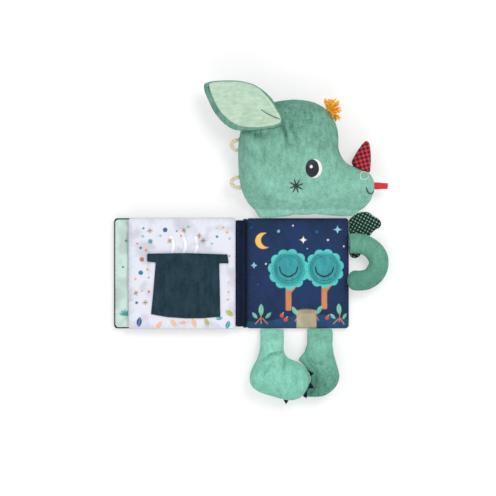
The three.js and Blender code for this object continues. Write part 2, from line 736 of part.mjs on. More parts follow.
add('right_leg', legForm(rightLegShares, rightLegX, rightFootWidth, rightLegLength, [0.6, 0.3]), palePlush);

// Toe tabs: small folded triangles let into the left foot's seam
const tabPlaces = [
  [0.978, 0.38, 5],
  [0.985, 0.21, -25],
  [0.9, 0.09, -60],
  [0.6, 0.01, -92],
];
tabPlaces.forEach(([xShare, yShare, angle], i) => {
  const shape = new THREE.Shape([
    new THREE.Vector2(-tabSink, -tabLength * 0.55),
    new THREE.Vector2(tabLength * 0.7, 0),
    new THREE.Vector2(-tabSink, tabLength * 0.55),
  ]);
  const tab = new THREE.ExtrudeGeometry(shape, { depth: tabThickness, bevelEnabled: false });
  tab.rotateZ(THREE.MathUtils.degToRad(angle));
  const z = footThickness / 2 - tabThickness / 2;
  tab.translate(leftLegX + xShare * leftFootWidth, hipY - leftLegLength * (1 - yShare), z);
  add(`toe_tab_${i + 1}`, cut(tab, tabCutter), navyCotton);
});

export default group;
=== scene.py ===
# A crinkle cloth book with a plush rhinoceros, lying open on its back cover, seen from straight above.
import math
import random

import bpy
import numpy as np
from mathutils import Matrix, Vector
from mathutils.bvhtree import BVHTree


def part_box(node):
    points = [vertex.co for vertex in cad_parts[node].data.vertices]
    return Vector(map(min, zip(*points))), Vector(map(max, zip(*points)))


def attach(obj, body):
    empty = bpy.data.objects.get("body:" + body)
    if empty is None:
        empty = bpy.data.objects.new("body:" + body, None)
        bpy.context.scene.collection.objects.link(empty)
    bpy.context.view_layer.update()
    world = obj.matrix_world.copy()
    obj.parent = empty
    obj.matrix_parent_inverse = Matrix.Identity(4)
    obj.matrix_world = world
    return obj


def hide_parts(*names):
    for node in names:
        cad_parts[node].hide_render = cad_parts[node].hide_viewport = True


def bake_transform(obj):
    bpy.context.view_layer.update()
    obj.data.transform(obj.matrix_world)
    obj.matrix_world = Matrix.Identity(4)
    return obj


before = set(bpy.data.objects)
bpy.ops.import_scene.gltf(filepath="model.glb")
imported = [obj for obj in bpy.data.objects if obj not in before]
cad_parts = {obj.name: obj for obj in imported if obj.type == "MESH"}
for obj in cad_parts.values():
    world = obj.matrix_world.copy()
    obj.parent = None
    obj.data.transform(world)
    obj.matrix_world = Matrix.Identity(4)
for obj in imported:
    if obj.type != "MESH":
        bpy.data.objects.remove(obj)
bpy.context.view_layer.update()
mm = 0.001
photo = {"mmPerPixel": 1.25, "pageCentre": (298.0, 273.5), "size": 496}
view = {"lens": 100, "sensor": 36, "pagesUp": 0.02}
span = photo["size"] * photo["mmPerPixel"] * mm
eye = span * view["lens"] / view["sensor"]  # from the pages up to the camera, at which the photograph fills the frame


def fromPhoto(x, y):
    scale = photo["mmPerPixel"] * mm
    return (x - photo["pageCentre"][0]) * scale, (photo["pageCentre"][1] - y) * scale


centreX, centreY = fromPhoto(photo["size"] / 2, photo["size"] / 2)


def fromPhotoAt(x, y, height):  # what stands above the table looks larger, so it is drawn in towards the middle
    px, py = fromPhoto(x, y)
    share = (eye + view["pagesUp"] - height) / eye
    return centreX + (px - centreX) * share, centreY + (py - centreY) * share


# Camera, lamps and floor
cameraData = bpy.data.cameras.new("camera")
cameraData.lens = view["lens"]
cameraData.sensor_width = view["sensor"]
camera = bpy.data.objects.new("camera", cameraData)
camera.location = (centreX, centreY, eye + view["pagesUp"])
bpy.context.scene.collection.objects.link(camera)
bpy.context.scene.camera = camera

lampAim = Vector((-0.05, 0.03, 0))
lamps = [  # name, place, size and watts: a large soft key from the top right, fills from the other sides
    ("keyLamp", (0.55, 0.75, 1.45), 0.7, 12),
    ("fillLamp", (-1.1, 0.2, 1.4), 1.4, 5),
    ("lowLamp", (0.1, -1.3, 1.1), 1.2, 9),
]
for name, spot, size, watts in lamps:
    lampData = bpy.data.lights.new(name, "AREA")
    lampData.size = size
    lampData.energy = watts
    lamp = bpy.data.objects.new(name, lampData)
    lamp.location = spot
    lamp.rotation_euler = (lampAim - Vector(spot)).to_track_quat("-Z", "Y").to_euler()
    bpy.context.scene.collection.objects.link(lamp)


def srgb(hexColour):
    parts = [int(hexColour[i:i + 2], 16) / 255 for i in (1, 3, 5)]
    return tuple(c / 12.92 if c <= 0.04045 else ((c + 0.055) / 1.055) ** 2.4 for c in parts)


def addNode(tree, kind, settings=None, **inputs):
    node = tree.nodes.new("ShaderNode" + kind)
    for key, value in (settings or {}).items():
        setattr(node, key, value)
    for key, value in inputs.items():
        numbered = key[0] == "i" and key[1:].isdigit()
        socket = node.inputs[int(key[1:]) if numbered else key.replace("_", " ")]
        if isinstance(value, bpy.types.NodeSocket):
            tree.links.new(value, socket)
        else:
            socket.default_value = value
    return node


def newMaterial(name, **surface):
    material = bpy.data.materials.new(name)
    material.use_nodes = True
    tree = material.node_tree
    tree.nodes.clear()
    shader = addNode(tree, "BsdfPrincipled", **surface)
    out = addNode(tree, "OutputMaterial")
    tree.links.new(shader.outputs["BSDF"], out.inputs["Surface"])
    return material, tree, shader


def rgba(hexColour):
    return (*srgb(hexColour), 1)


def objectCoords(tree):
    return addNode(tree, "TexCoord").outputs["Object"]


def mapped(tree, **how):
    return addNode(tree, "Mapping", Vector=objectCoords(tree), **how).outputs["Vector"]


def noise(tree, sizeMm, detail=2.0, coords=None):
    coords = coords or objectCoords(tree)
    node = addNode(tree, "TexNoise", Vector=coords, Scale=1000 / sizeMm, Detail=detail)
    return node.outputs["Fac"]


def mixColour(tree, factor, first, second):
    return addNode(tree, "Mix", {"data_type": "RGBA"}, i0=factor, i6=first, i7=second).outputs[2]


def tint(tree, shader, share, low, high):
    tree.links.new(mixColour(tree, share, rgba(low), rgba(high)), shader.inputs["Base Color"])


def math2(tree, operation, first, second=0.0, clamp=False):
    return addNode(tree, "Math", {"operation": operation, "use_clamp": clamp}, i0=first, i1=second).outputs[0]


def ramp(tree, value, low, high):
    return addNode(tree, "MapRange", Value=value, From_Min=low, From_Max=high).outputs["Result"]


def bump(tree, shader, height, strength, distanceMm):
    node = addNode(tree, "Bump", Height=height, Strength=strength, Distance=distanceMm * mm)
    tree.links.new(node.outputs["Normal"], shader.inputs["Normal"])


# Plush: knitted polyester with a short brushed pile. Its colour carries painted light and shade: deep at lowY, pale at
# highY, and darker in pressed creases
plushTone = {"paintedLightY": 0.46, "broad": 0.16, "streak": 0.3, "pile": 0.3, "fold": 0.3}  # how far each moves it to pale


def plush(name, deep, pale, lowY, highY, pileMm=1.7):
    material, tree, shader = newMaterial(
        name, Roughness=0.92, Sheen_Weight=0.25, Sheen_Roughness=0.5, Sheen_Tint=rgba(pale), Specular_IOR_Level=0.15)
    split = addNode(tree, "SeparateXYZ", Vector=objectCoords(tree))
    brushed = mapped(tree, Scale=(1.0, 0.4, 1.0))
    broad = ramp(tree, noise(tree, 30, 3), 0.3, 0.7)
    streak = ramp(tree, noise(tree, 5, 4, brushed), 0.28, 0.72)
    pile = ramp(tree, noise(tree, pileMm, 3), 0.28, 0.72)
    # painted light and shade along Y: deep at lowY, pale at highY
    tone = math2(tree, "MULTIPLY", ramp(tree, split.outputs["Y"], lowY * mm, highY * mm), plushTone["paintedLightY"])
    for key, value in (("broad", broad), ("streak", streak), ("pile", pile)):
        tone = math2(tree, "ADD", tone, math2(tree, "MULTIPLY", value, plushTone[key]))
    # painted shade: darker where crease() pressed a groove in
    fold = addNode(tree, "Attribute", {"attribute_name": "fold"}).outputs["Fac"]
    tone = math2(tree, "SUBTRACT", tone, math2(tree, "MULTIPLY", fold, plushTone["fold"]), True)
    tint(tree, shader, tone, deep, pale)
    bump(tree, shader, math2(tree, "ADD", pile, streak), 0.6, 0.7)
    return material


# Woven cotton: a plain weave, its threads drawn coarser than the real 0.3 mm so that the grain shows
weaveMm = 0.9


def weaveHeight(tree, threadMm=weaveMm):
    split = addNode(tree, "SeparateXYZ", Vector=objectCoords(tree))
    warp, weft = (math2(tree, "SINE", math2(tree, "MULTIPLY", split.outputs[axis], 2 * math.pi * 1000 / threadMm))
                  for axis in ("X", "Y"))
    return math2(tree, "MULTIPLY", warp, weft)


def cotton(name, colour, darker, threadMm=weaveMm, roughness=0.8):
    material, tree, shader = newMaterial(name, Roughness=roughness, Sheen_Weight=0.03, Specular_IOR_Level=0.12)
    mottle = ramp(tree, noise(tree, 9, 4), 0.3, 0.7)
    tint(tree, shader, mottle, darker, colour)
    bump(tree, shader, weaveHeight(tree, threadMm), 0.18, 0.15)
    return material


# Printed cotton: the print, with painted shade in its creases and along its rim, is an attribute of the page's own mesh
def printedCotton(name):
    material, tree, shader = newMaterial(name, Roughness=0.85, Sheen_Weight=0.05, Specular_IOR_Level=0.15)
    printAndShade = addNode(tree, "Attribute", {"attribute_name": "ink"}).outputs["Color"]
    fade = math2(tree, "MULTIPLY", ramp(tree, noise(tree, 1.1, 3), 0.25, 0.75), 0.035)
    tree.links.new(mixColour(tree, fade, printAndShade, rgba("#b9bed0")), shader.inputs["Base Color"])
    bump(tree, shader, weaveHeight(tree), 0.15, 0.12)
    return material


# Velour: dense cut pile, soft and dark, with brushed streaks
def velour(name, deep, pale):
    material, tree, shader = newMaterial(
        name, Roughness=0.95, Sheen_Weight=0.2, Sheen_Roughness=0.4, Sheen_Tint=rgba(pale), Specular_IOR_Level=0.1)
    stretched = mapped(tree, Scale=(1.0, 0.35, 1.0))
    streak = ramp(tree, noise(tree, 6, 4, stretched), 0.3, 0.7)
    pile = ramp(tree, noise(tree, 1.3, 2), 0.3, 0.7)
    blend = math2(tree, "ADD", math2(tree, "MULTIPLY", streak, 0.5), math2(tree, "MULTIPLY", pile, 0.5), True)
    tint(tree, shader, blend, deep, pale)
    bump(tree, shader, pile, 0.5, 0.5)
    return material


# Gingham: yarn-dyed check, two bands in each direction
def gingham(name, light, middle, dark, checkMm, tilt, lightShare):
    material, tree, shader = newMaterial(name, Roughness=0.8, Sheen_Weight=0.1, Specular_IOR_Level=0.25)
    turned = mapped(tree, Rotation=(0, 0, tilt))
    split = addNode(tree, "SeparateXYZ", Vector=turned)
    bands = []
    for axis in ("X", "Y"):
        wave = math2(tree, "FRACT", math2(tree, "MULTIPLY", split.outputs[axis], 1000 / (2 * checkMm)))
        bands.append(math2(tree, "GREATER_THAN", wave, lightShare))
    both = math2(tree, "MULTIPLY", bands[0], bands[1])
    either = math2(tree, "MAXIMUM", bands[0], bands[1])
    colour = mixColour(tree, either, rgba(light), rgba(middle))
    tree.links.new(mixColour(tree, both, colour, rgba(dark)), shader.inputs["Base Color"])
    bump(tree, shader, weaveHeight(tree), 0.25, 0.15)
    return material


# Stitched thread, satin, ribbon and cord: fine parallel lines with a soft shine
def thread(name, colour, darker, lineMm=0.8, roughness=0.5, tilt=0.0):
    material, tree, shader = newMaterial(name, Roughness=roughness, Sheen_Weight=0.2, Specular_IOR_Level=0.4)
    turned = mapped(tree, Rotation=(0, 0, tilt))
    split = addNode(tree, "SeparateXYZ", Vector=turned)
    lines = math2(tree, "SINE", math2(tree, "MULTIPLY", split.outputs["X"], 2 * math.pi * 1000 / lineMm))
    shade = math2(tree, "MULTIPLY", ramp(tree, lines, -1.0, 1.0), ramp(tree, noise(tree, 3, 2), 0.2, 0.7), True)
    tint(tree, shader, shade, darker, colour)
    bump(tree, shader, lines, 0.3, 0.2)
    return material


# Satin: its floats run one way, and its shine is painted into its colour as long pale streaks of painted sheen
def satin(name, deep, pale):
    material, tree, shader = newMaterial(name, Roughness=0.5, Sheen_Weight=0.1, Specular_IOR_Level=0.25)
    drawn = mapped(tree, Scale=(0.2, 1.0, 1.0))
    streak = ramp(tree, noise(tree, 3.5, 4, drawn), 0.25, 0.75)
    tint(tree, shader, streak, deep, pale)
    return material


# Film: thin polyethylene with a crumpled, glossy face
def film(name, colour):
    material, tree, shader = newMaterial(name, Roughness=0.22, Base_Color=rgba(colour))
    bump(tree, shader, noise(tree, 7, 5), 0.6, 0.6)
    return material


seaPlush = plush("brushedPlushSeaGreen", "#234f40", "#94d0bb", 212, 76)
armPlush = plush("brushedPlushArm", "#356c5a", "#6da893", -30, 60, 2.4)
# The legs are one plush in two copies: painted lit on the left leg, painted in shade on the right leg, which lies under
# it
litLegPlush = plush("brushedPlushGreenPaintedLit", "#3f8871", "#95d9c4", -190, -90, 2.6)
shadedLegPlush = plush("brushedPlushGreenPaintedShade", "#1e5142", "#80c0aa", -150, -90, 2.6)
navyPrint = printedCotton("printedCottonNightPage")
whitePrint = printedCotton("printedCottonWhitePage")
mintPrint = printedCotton("printedCottonMint")
darkCotton = cotton("wovenCottonDarkGreen", "#24393f", "#1b2b31")
navyCotton = cotton("wovenCottonNavy", "#0d1c38", "#081328")
slateVelour = velour("cutVelourSlate", "#12222b", "#2f4955")
tealVelour = velour("cutVelourTeal", "#2a8089", "#4dacb0")
mintSatin = satin("wovenSatinMint", "#a0c2a6", "#c5dac8")
redGingham = gingham("ginghamRed", "#dc3242", "#98202e", "#2a161c", 2.6, -0.26, 0.45)
greenGingham = gingham("ginghamGreen", "#9cc0b0", "#184a3a", "#071f18", 2.0, 0.5, 0.34)
redRibbonCloth = thread("wovenRibbonRed", "#f01f2b", "#c41420", 1.2, 0.5)
orangeYarn = thread("spunYarnOrange", "#ffc736", "#f7a51a", 1.2, 0.85)
creamCord = thread("twistedCordCream", "#f1e8d2", "#cfc09c", 1.5, 0.8, 0.8)
navyThread = thread("satinStitchNavy", "#0f1a2e", "#080f1e", 0.9, 0.4)
whiteThread = thread("satinStitchWhite", "#f7f7f4", "#dcdcd8", 0.9, 0.45)
mintThread = thread("satinStitchMint", "#d5eee4", "#a9d3c3", 0.9, 0.5)
tealThread = thread("satinStitchTeal", "#173e3e", "#0e2b2c", 0.9, 0.5, 0.8)
hookTape = cotton("hookTapeNavy", "#2a3548", "#1c2433", 1.2, 0.9)
fibre = cotton("polyesterWadding", "#f4f2ec", "#e6e3da", 3.0, 0.95)
crinkleFilm = film("polyethyleneFilm", "#dcdee2")
print("materials ready")

# Floor: white paint, part of which the camera sees as paper white without any more light on the object
floorLook = {"white": 0.95, "seenShare": 0.45, "size": 8, "under": 0.0004}
floorMaterial, floorTree, floorShader = newMaterial("paintedFloor", Roughness=0.9, Specular_IOR_Level=0.0)
floorShader.inputs["Base Color"].default_value = (*[floorLook["white"]] * 3, 1)
seen = addNode(floorTree, "LightPath")
direct = math2(floorTree, "MAXIMUM", seen.outputs["Is Camera Ray"], seen.outputs["Is Glossy Ray"])
direct = math2(floorTree, "MAXIMUM", direct, seen.outputs["Is Transmission Ray"])
white = addNode(floorTree, "Emission", Color=(1, 1, 1, 1), Strength=1.0)
paper = addNode(floorTree, "MixShader", i0=math2(floorTree, "MULTIPLY", direct, floorLook["seenShare"]),
                i1=floorShader.outputs["BSDF"], i2=white.outputs["Emission"])
floorTree.links.new(paper.outputs["Shader"], floorTree.nodes["Material Output"].inputs["Surface"])
bpy.ops.object.select_all(action="DESELECT")
bpy.ops.mesh.primitive_plane_add(size=floorLook["size"], location=(0, 0, -floorLook["under"]))
floor = bpy.context.object
floor.name = "floor"
floor.data.materials.append(floorMaterial)

world = bpy.context.scene.world or bpy.data.worlds.new("studio")
bpy.context.scene.world = world
world.use_nodes = True
world.node_tree.nodes["Background"].inputs["Color"].default_value = (1, 1, 1, 1)
world.node_tree.nodes["Background"].inputs["Strength"].default_value = 0.55
bpy.context.scene.view_settings.view_transform = "Standard"


# Shapes shared by the soft pieces
def newPiece(name, verts, faces, material):
    mesh = bpy.data.meshes.new(name)
    mesh.from_pydata([tuple(v) for v in verts], [], [tuple(f) for f in faces])
    mesh.update()
    piece = bpy.data.objects.new(name, mesh)
    bpy.context.scene.collection.objects.link(piece)
    mesh.materials.append(material)
    mesh.polygons.foreach_set("use_smooth", [True] * len(mesh.polygons))
    return piece


def cadCopy(name, node, material):
    piece = bpy.data.objects.new(name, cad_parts[node].data.copy())
    bpy.context.scene.collection.objects.link(piece)
    piece.data.materials.clear()
    piece.data.materials.append(material)
    return piece


def onlyActive(piece):
    bpy.ops.object.select_all(action="DESELECT")
    piece.select_set(True)
    bpy.context.view_layer.objects.active = piece


def applyModifier(piece, kind, **settings):
    onlyActive(piece)
    modifier = piece.modifiers.new(kind.lower(), kind)
    for key, value in settings.items():
        setattr(modifier, key, value)
    bpy.ops.object.modifier_apply(modifier=modifier.name)


def points(piece):
    coords = np.empty(len(piece.data.vertices) * 3)
    piece.data.vertices.foreach_get("co", coords)
    return coords.reshape(-1, 3)


def setPoints(piece, coords):
    piece.data.vertices.foreach_set("co", coords.reshape(-1))
    piece.data.update()


def editMesh(piece, operator, **settings):
    onlyActive(piece)
    bpy.ops.object.mode_set(mode="EDIT")
    bpy.ops.mesh.select_all(action="SELECT")
    operator(**settings)
    bpy.ops.object.mode_set(mode="OBJECT")


def place(piece, body, nodes):
    if body:  # a form given no body rides on nothing else
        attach(piece, body)
    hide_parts(*nodes)


def gridFaces(rows, columns):
    row = columns + 1
    return [(a, a + 1, a + row + 1, a + row) for k in range(rows) for a in range(k * row, k * row + columns)]


def ringFaces(rings, sides, start=0):
    faces = []
    for a in range(start, start + (rings - 1) * sides, sides):
        b = a + sides
        faces += [(a + j, a + (j + 1) % sides, b + (j + 1) % sides, b + j) for j in range(sides)]
    return faces


def tubeFaces(rings, sides):
    last = (rings - 1) * sides
    return ringFaces(rings, sides) + [tuple(range(sides))[::-1], tuple(last + j for j in range(sides))]


# Stuffed forms: the solid's own mesh, evened out and blown up by cloth under pressure, no point further than capMm
stuffing = {"mergeMm": 0.02, "smooth": 0.5, "frames": 20, "quality": 4}


def stuffed(name, node, material, body, voxelMm, pressure=0.0, capMm=0.0, smoothSteps=6, levels=1):
    piece = cadCopy(name, node, material)
    editMesh(piece, bpy.ops.mesh.remove_doubles, threshold=stuffing["mergeMm"] * mm)
    applyModifier(piece, "REMESH", mode="VOXEL", voxel_size=voxelMm * mm)
    applyModifier(piece, "SMOOTH", factor=stuffing["smooth"], iterations=smoothSteps)
    if pressure:
        before = points(piece)
        modifier = piece.modifiers.new("cloth", "CLOTH")
        modifier.settings.use_pressure = True
        modifier.settings.uniform_pressure_force = pressure
        modifier.settings.effector_weights.gravity = 0
        modifier.settings.quality = stuffing["quality"]
        for step in range(stuffing["frames"]):
            bpy.context.scene.frame_set(step + 1)
        onlyActive(piece)
        bpy.ops.object.modifier_apply(modifier=modifier.name)
        bpy.context.scene.frame_set(1)
        move = points(piece) - before
        length = np.linalg.norm(move, axis=1, keepdims=True)
        setPoints(piece, before + move * np.minimum(1, capMm * mm / np.maximum(length, 1e-9)))
    if levels:
        applyModifier(piece, "SUBSURF", levels=levels, render_levels=levels)
    piece.data.polygons.foreach_set("use_smooth", [True] * len(piece.data.polygons))
    place(piece, body, [node])
    return piece


def surfaceOf(piece):
    return BVHTree.FromObject(piece, bpy.context.evaluated_depsgraph_get())


def heightOn(surface, x, y):  # in millimetres, and 0 past the form's edge
    hit = surface.ray_cast(Vector((x * mm, y * mm, 0.3)), Vector((0, 0, -1)))[0]
    return hit.z / mm if hit else 0.0


def roundly(d, run):  # a swelling that starts steep at an edge and is level after run
    return np.sqrt(1 - (1 - np.clip(d / run, 0, 1)) ** 2)


def waves(x, y, sizeMm, seed, count=7):
    rng = random.Random(seed)
    total = np.zeros_like(x)
    for _ in range(count):
        angle = rng.uniform(0, math.pi)
        size = sizeMm * rng.uniform(0.7, 1.5)
        phase = rng.uniform(0, 2 * math.pi)
        total += np.sin(2 * math.pi * (x * math.cos(angle) + y * math.sin(angle)) / size + phase)
    return total / count


# Printed inks, painted on a page's own points in millimetres from the page's centre
def disc(x, y, cx, cy, r):
    return np.hypot(x - cx, y - cy) - r


def oval(x, y, cx, cy, rx, ry, turn=0.0):
    u = (x - cx) * math.cos(turn) + (y - cy) * math.sin(turn)
    v = -(x - cx) * math.sin(turn) + (y - cy) * math.cos(turn)
    return (np.hypot(u / rx, v / ry) - 1) * min(rx, ry)


def bar(x, y, cx, cy, width, height, turn=0.0, r=0.0):
    u = np.abs((x - cx) * math.cos(turn) + (y - cy) * math.sin(turn)) - width / 2 + r
    v = np.abs(-(x - cx) * math.sin(turn) + (y - cy) * math.cos(turn)) - height / 2 + r
    return np.hypot(np.maximum(u, 0), np.maximum(v, 0)) + np.minimum(np.maximum(u, v), 0) - r


def leafShape(x, y, cx, cy, length, width, turn):
    r = (length ** 2 + width ** 2) / (4 * width)
    off = r - width / 2
    dx, dy = -math.sin(turn) * off, math.cos(turn) * off
    return np.maximum(disc(x, y, cx + dx, cy + dy, r), disc(x, y, cx - dx, cy - dy, r))


def sparkle(x, y, cx, cy, r):
    u, v = np.abs(x - cx), np.abs(y - cy)
    return (np.sqrt(u) + np.sqrt(v)) ** 2 - r


def ink(colour, field, hexColour, edge=0.45, strength=1.0):
    cover = np.clip(0.5 - field / edge, 0, 1)[:, None] * strength
    return colour * (1 - cover) + np.array(srgb(hexColour)) * cover


def ground(x, hexColour):
    return np.tile(np.array(srgb(hexColour)), (len(x), 1))


nightPrint = {
    "ground": "#11284b", "sky": "#183562", "moon": "#f0bc58", "cream": "#f2ead2", "blue": "#8fc9dc", "deep": "#1f5f8c",
    "crown": "#3fb0ae", "crownEdge": "#55c4be", "crownSpot": "#257f86", "trunk": "#c98256", "mound": "#1b4569",
    "bush": "#7cc3a8", "bushVein": "#3f8f80", "stump": "#b7ad90", "stumpRing": "#8f866c", "fruit": "#e2463c",
    "glow": (5, 10, 62), "moonAt": (-43, 41, 10.3), "moonCut": (5.4, 0.8, 0.84),
    "stars": [(7, 42, 4.2, "cream"), (50, 55, 4.4, "blue"), (-55, 10, 4.0, "blue"), (-24, 53, 1.8, "blue"),
              (24, 52, 2.0, "deep"), (-6, 60, 1.0, "cream"), (58, 34, 1.0, "cream"), (-58, 58, 1.0, "deep"),
              (-40, 12, 1.1, "cream"), (12, 31, 0.9, "blue"), (38, 42, 1.2, "cream"), (-50, -14, 1.0, "deep")],
    "trees": [(-11.5, 5.0, 23), (33.5, 6.0, 22)], "scallops": 11, "leafRows": 9, "leafStep": 3.1,
    "stumpAt": (11, -58, 25, 24), "rings": (19, 11.5, 4.5), "ringY": -47.5,
    "bushes": [(-46, -47, 15, 0.0), (-54, -54, 10, 0.7), (-37, -54, 10, -0.75), (52, -46, 14, 0.1), (59, -55, 9, -0.6),
               (44, -55, 9, 0.8), (-4, -48, 12, 0.5), (27, -47, 12, -0.5)],  # place, size and lean
    "fruits": [(-20, -53), (-15, -58), (37, -56)],
}


def paintTree(colour, x, y, tx, ty, r):
    d = nightPrint
    colour = ink(colour, bar(x, y, tx, ty - r - 12, 7, 34, 0, 2), d["trunk"])
    colour = ink(colour, bar(x, y, tx + 4.5, ty - r - 3, 3, 12, -0.7, 1), d["trunk"])
    for k in range(d["scallops"]):
        a = 2 * math.pi * k / d["scallops"] + 0.2
        lobe = disc(x, y, tx + 0.84 * r * math.cos(a), ty + 0.84 * r * math.sin(a), r * 0.29)
        colour = ink(colour, lobe, d["crownEdge"])
    colour = ink(colour, disc(x, y, tx, ty, r * 0.93), d["crown"])
    for row in range(d["leafRows"]):
        for k in range(-7, 8):
            lx, ly = tx + (k + 0.5 * (row % 2)) * d["leafStep"], ty - r + 3.2 + row * 3.0
            if math.hypot(lx - tx, ly - ty) < r * 0.98:
                colour = ink(colour, leafShape(x, y, lx, ly, 2.2, 1.0, 1.57), d["crownSpot"])
    return colour


def paintNight(x, y):
    d = nightPrint
    colour = ink(ground(x, d["ground"]), disc(x, y, *d["glow"]), d["sky"], 40, 0.6)
    for sx, sy, r, tone in d["stars"]:
        shape = sparkle(x, y, sx, sy, r * 1.5) if r > 3 else disc(x, y, sx, sy, r)
        colour = ink(colour, shape, d[tone], 0.6)
    (mx, my, mr), (cutX, cutY, cutShare) = d["moonAt"], d["moonCut"]
    moon = np.maximum(disc(x, y, mx, my, mr), -disc(x, y, mx + cutX, my + cutY, mr * cutShare))
    colour = ink(colour, moon, d["moon"])
    colour = ink(colour, y + 56 - 5 * np.sin((x + 18) / 23), d["mound"])
    for tree in d["trees"]:
        colour = paintTree(colour, x, y, *tree)
    colour = ink(colour, bar(x, y, *d["stumpAt"], 0, 2.5), d["stump"])
    for width in d["rings"]:
        ring = np.abs(oval(x, y, d["stumpAt"][0], d["ringY"], width / 2, width / 7)) - 0.3
        colour = ink(colour, ring, d["stumpRing"])
    for bx, by, size, lean in d["bushes"]:
        stem = bar(x, y, bx + math.sin(lean) * size * 0.6, by - size * 0.6, 1.2, size, -lean)
        colour = ink(colour, stem, d["trunk"])
        colour = ink(colour, leafShape(x, y, bx, by + 1, size, size * 0.42, 1.57 + lean), d["bush"])
        colour = ink(colour, bar(x, y, bx, by, 0.5, size * 0.8, lean), d["bushVein"])
    for fx, fy in d["fruits"]:
        colour = ink(colour, disc(x, y, fx, fy, 2.5), d["fruit"])
        colour = ink(colour, leafShape(x, y, fx + 1.6, fy + 3, 3.6, 1.4, 0.8), d["bush"])
    return colour


confettiPrint = {
    "ground": "#dfe1ec", "ribbon": "#f3f1f4", "ribbonEdge": "#a3b6d8",
    "inks": ["#f29a2e", "#2c8f95", "#f0b04a", "#256e7c", "#8cc7a6", "#ee7f3c"],
    "leafInks": ["#2f9ba0", "#b7bb58", "#eb8540", "#2a5f93", "#57b7ad", "#eeb890"],
    "ribbons": [(-11, -0.16), (2, 0.02), (15, 0.18)], "dots": 170, "leaves": 60, "seed": 41, "hat": (8.3, -9.0, 98, 92),
    "dotApart": 6.8, "leafApart": 11.5, "badge": 2.9,
}


def paintConfetti(x, y, covered=True):  # the leaf's other side has no pocket over its middle
    d = confettiPrint
    colour = ground(x, d["ground"])
    for sx, lean in d["ribbons"] if covered else ():  # pale ribbons that rise from the pocket
        swing = sx + 2.6 * np.sin(y / 6 + sx)
        band = np.maximum(np.abs(x - swing - lean * (y - 25)) - 3.0, np.maximum(18 - y, y - 57 + abs(sx - 2) * 0.7))
        colour = ink(colour, band, d["ribbon"], 0.5)
        colour = ink(colour, np.abs(band + 0.4) - 0.35, d["ribbonEdge"], 0.5, 0.8)
    rng = random.Random(d["seed"])
    hx, hy, hw, hh = d["hat"]
    placed = []
    for k in range(d["dots"] + d["leaves"]):
        leafy = k >= d["dots"]
        cx = rng.uniform(-60, 60)
        cy = rng.uniform(-65, -42) if leafy else rng.uniform(-38, 62)
        apart = d["leafApart"] if leafy else d["dotApart"]
        hidden = covered and abs(cx - hx) < hw / 2 and abs(cy - hy) < hh / 2
        if hidden or any(math.hypot(cx - px, cy - py) < apart for px, py in placed):
            continue
        placed.append((cx, cy))
        tone, kind, turn = rng.choice(d["inks"]), rng.randrange(7), rng.uniform(0, math.pi)
        if leafy:
            tone, length = rng.choice(d["leafInks"]), rng.uniform(8, 13)
            field = leafShape(x, y, cx, cy, length, length * 0.5, turn)
            vein = np.maximum(bar(x, y, cx, cy, length * 0.8, 0.5, turn), field)
            colour = ink(ink(colour, field, tone), vein, d["ground"], 0.45, 0.7)
        elif kind < 5:
            colour = ink(colour, disc(x, y, cx, cy, rng.uniform(0.9, 2.0)), tone)
        elif kind == 5:
            for arm in range(4):
                colour = ink(colour, bar(x, y, cx, cy, 7.0, 0.9, turn + arm * math.pi / 4, 0.3), d["inks"][arm])
        else:
            badge = disc(x, y, cx, cy, d["badge"])
            colour = ink(colour, badge, tone)
            for stripe in (-1.6, 0, 1.6):
                line = bar(x, y, cx + stripe * math.cos(turn), cy + stripe * math.sin(turn), 0.7, 6, turn)
                colour = ink(colour, np.maximum(line, badge), d["leafInks"][3])
    return colour


coverPrint = {
    "ground": "#c8e0d6", "teal": "#2f9a9c", "seed": 9, "sprigs": 26, "apart": 17,
    "edge": [(-50.5, -53, True), (-49, 41, False), (-53, 8, False)],  # the ones that show past the leaf
}


def paintCover(x, y):  # sprigs of leaves and dots on mint
    d = coverPrint
    colour = ground(x, d["ground"])
    rng = random.Random(d["seed"])
    places = list(d["edge"])
    while len(places) < d["sprigs"]:
        cx, cy = rng.uniform(-42, 56), rng.uniform(-60, 60)
        if all(math.hypot(cx - px, cy - py) > d["apart"] for px, py, _ in places):
            places.append((cx, cy, rng.random() < 0.6))
    for cx, cy, leafy in places:
        if not leafy:
            colour = ink(colour, disc(x, y, cx, cy, 1.5), d["teal"])
            continue
        for k in range(-2, 3):
            a = 1.57 + 0.62 * k + 0.1 * math.sin(cx)
            leaf = leafShape(x, y, cx + 4 * math.cos(a), cy + 4 * math.sin(a), 8.4, 2.9, a)
            colour = ink(colour, leaf, d["teal"], 0.6, 0.85)
    return colour


# Padded pages: two panels sewn at a rim, puckered along it and a little creased by the film inside
page = {
    "corner": 4.5, "run": 12.0, "seam": 2.0, "gridMm": 0.72, "fill": 0.45,
    "pucker": 0.7, "puckerMm": 6.5, "puckerRun": 6,
    "crease": 2.6, "creaseMm": (42, 17), "crest": 0.45, "hollow": 1.15, "underCrease": (-0.3, 0.6),
    "crinkle": 0.7, "crinkleMm": (60, 50), "crinkleShare": 0.07, "calmRun": 6, "calmShare": 0.15,
    # painted shade in the crease hollows and along the rim
    "creaseShade": 0.22, "rimShade": 0.16, "rimShadeRun": 2.4,
}


def pageDistance(x, y, width, height):
    qx = np.abs(x) - width / 2 + page["corner"]
    qy = np.abs(y) - height / 2 + page["corner"]
    outside = np.hypot(np.maximum(qx, 0), np.maximum(qy, 0))
    return page["corner"] - outside - np.minimum(np.maximum(qx, qy), 0)


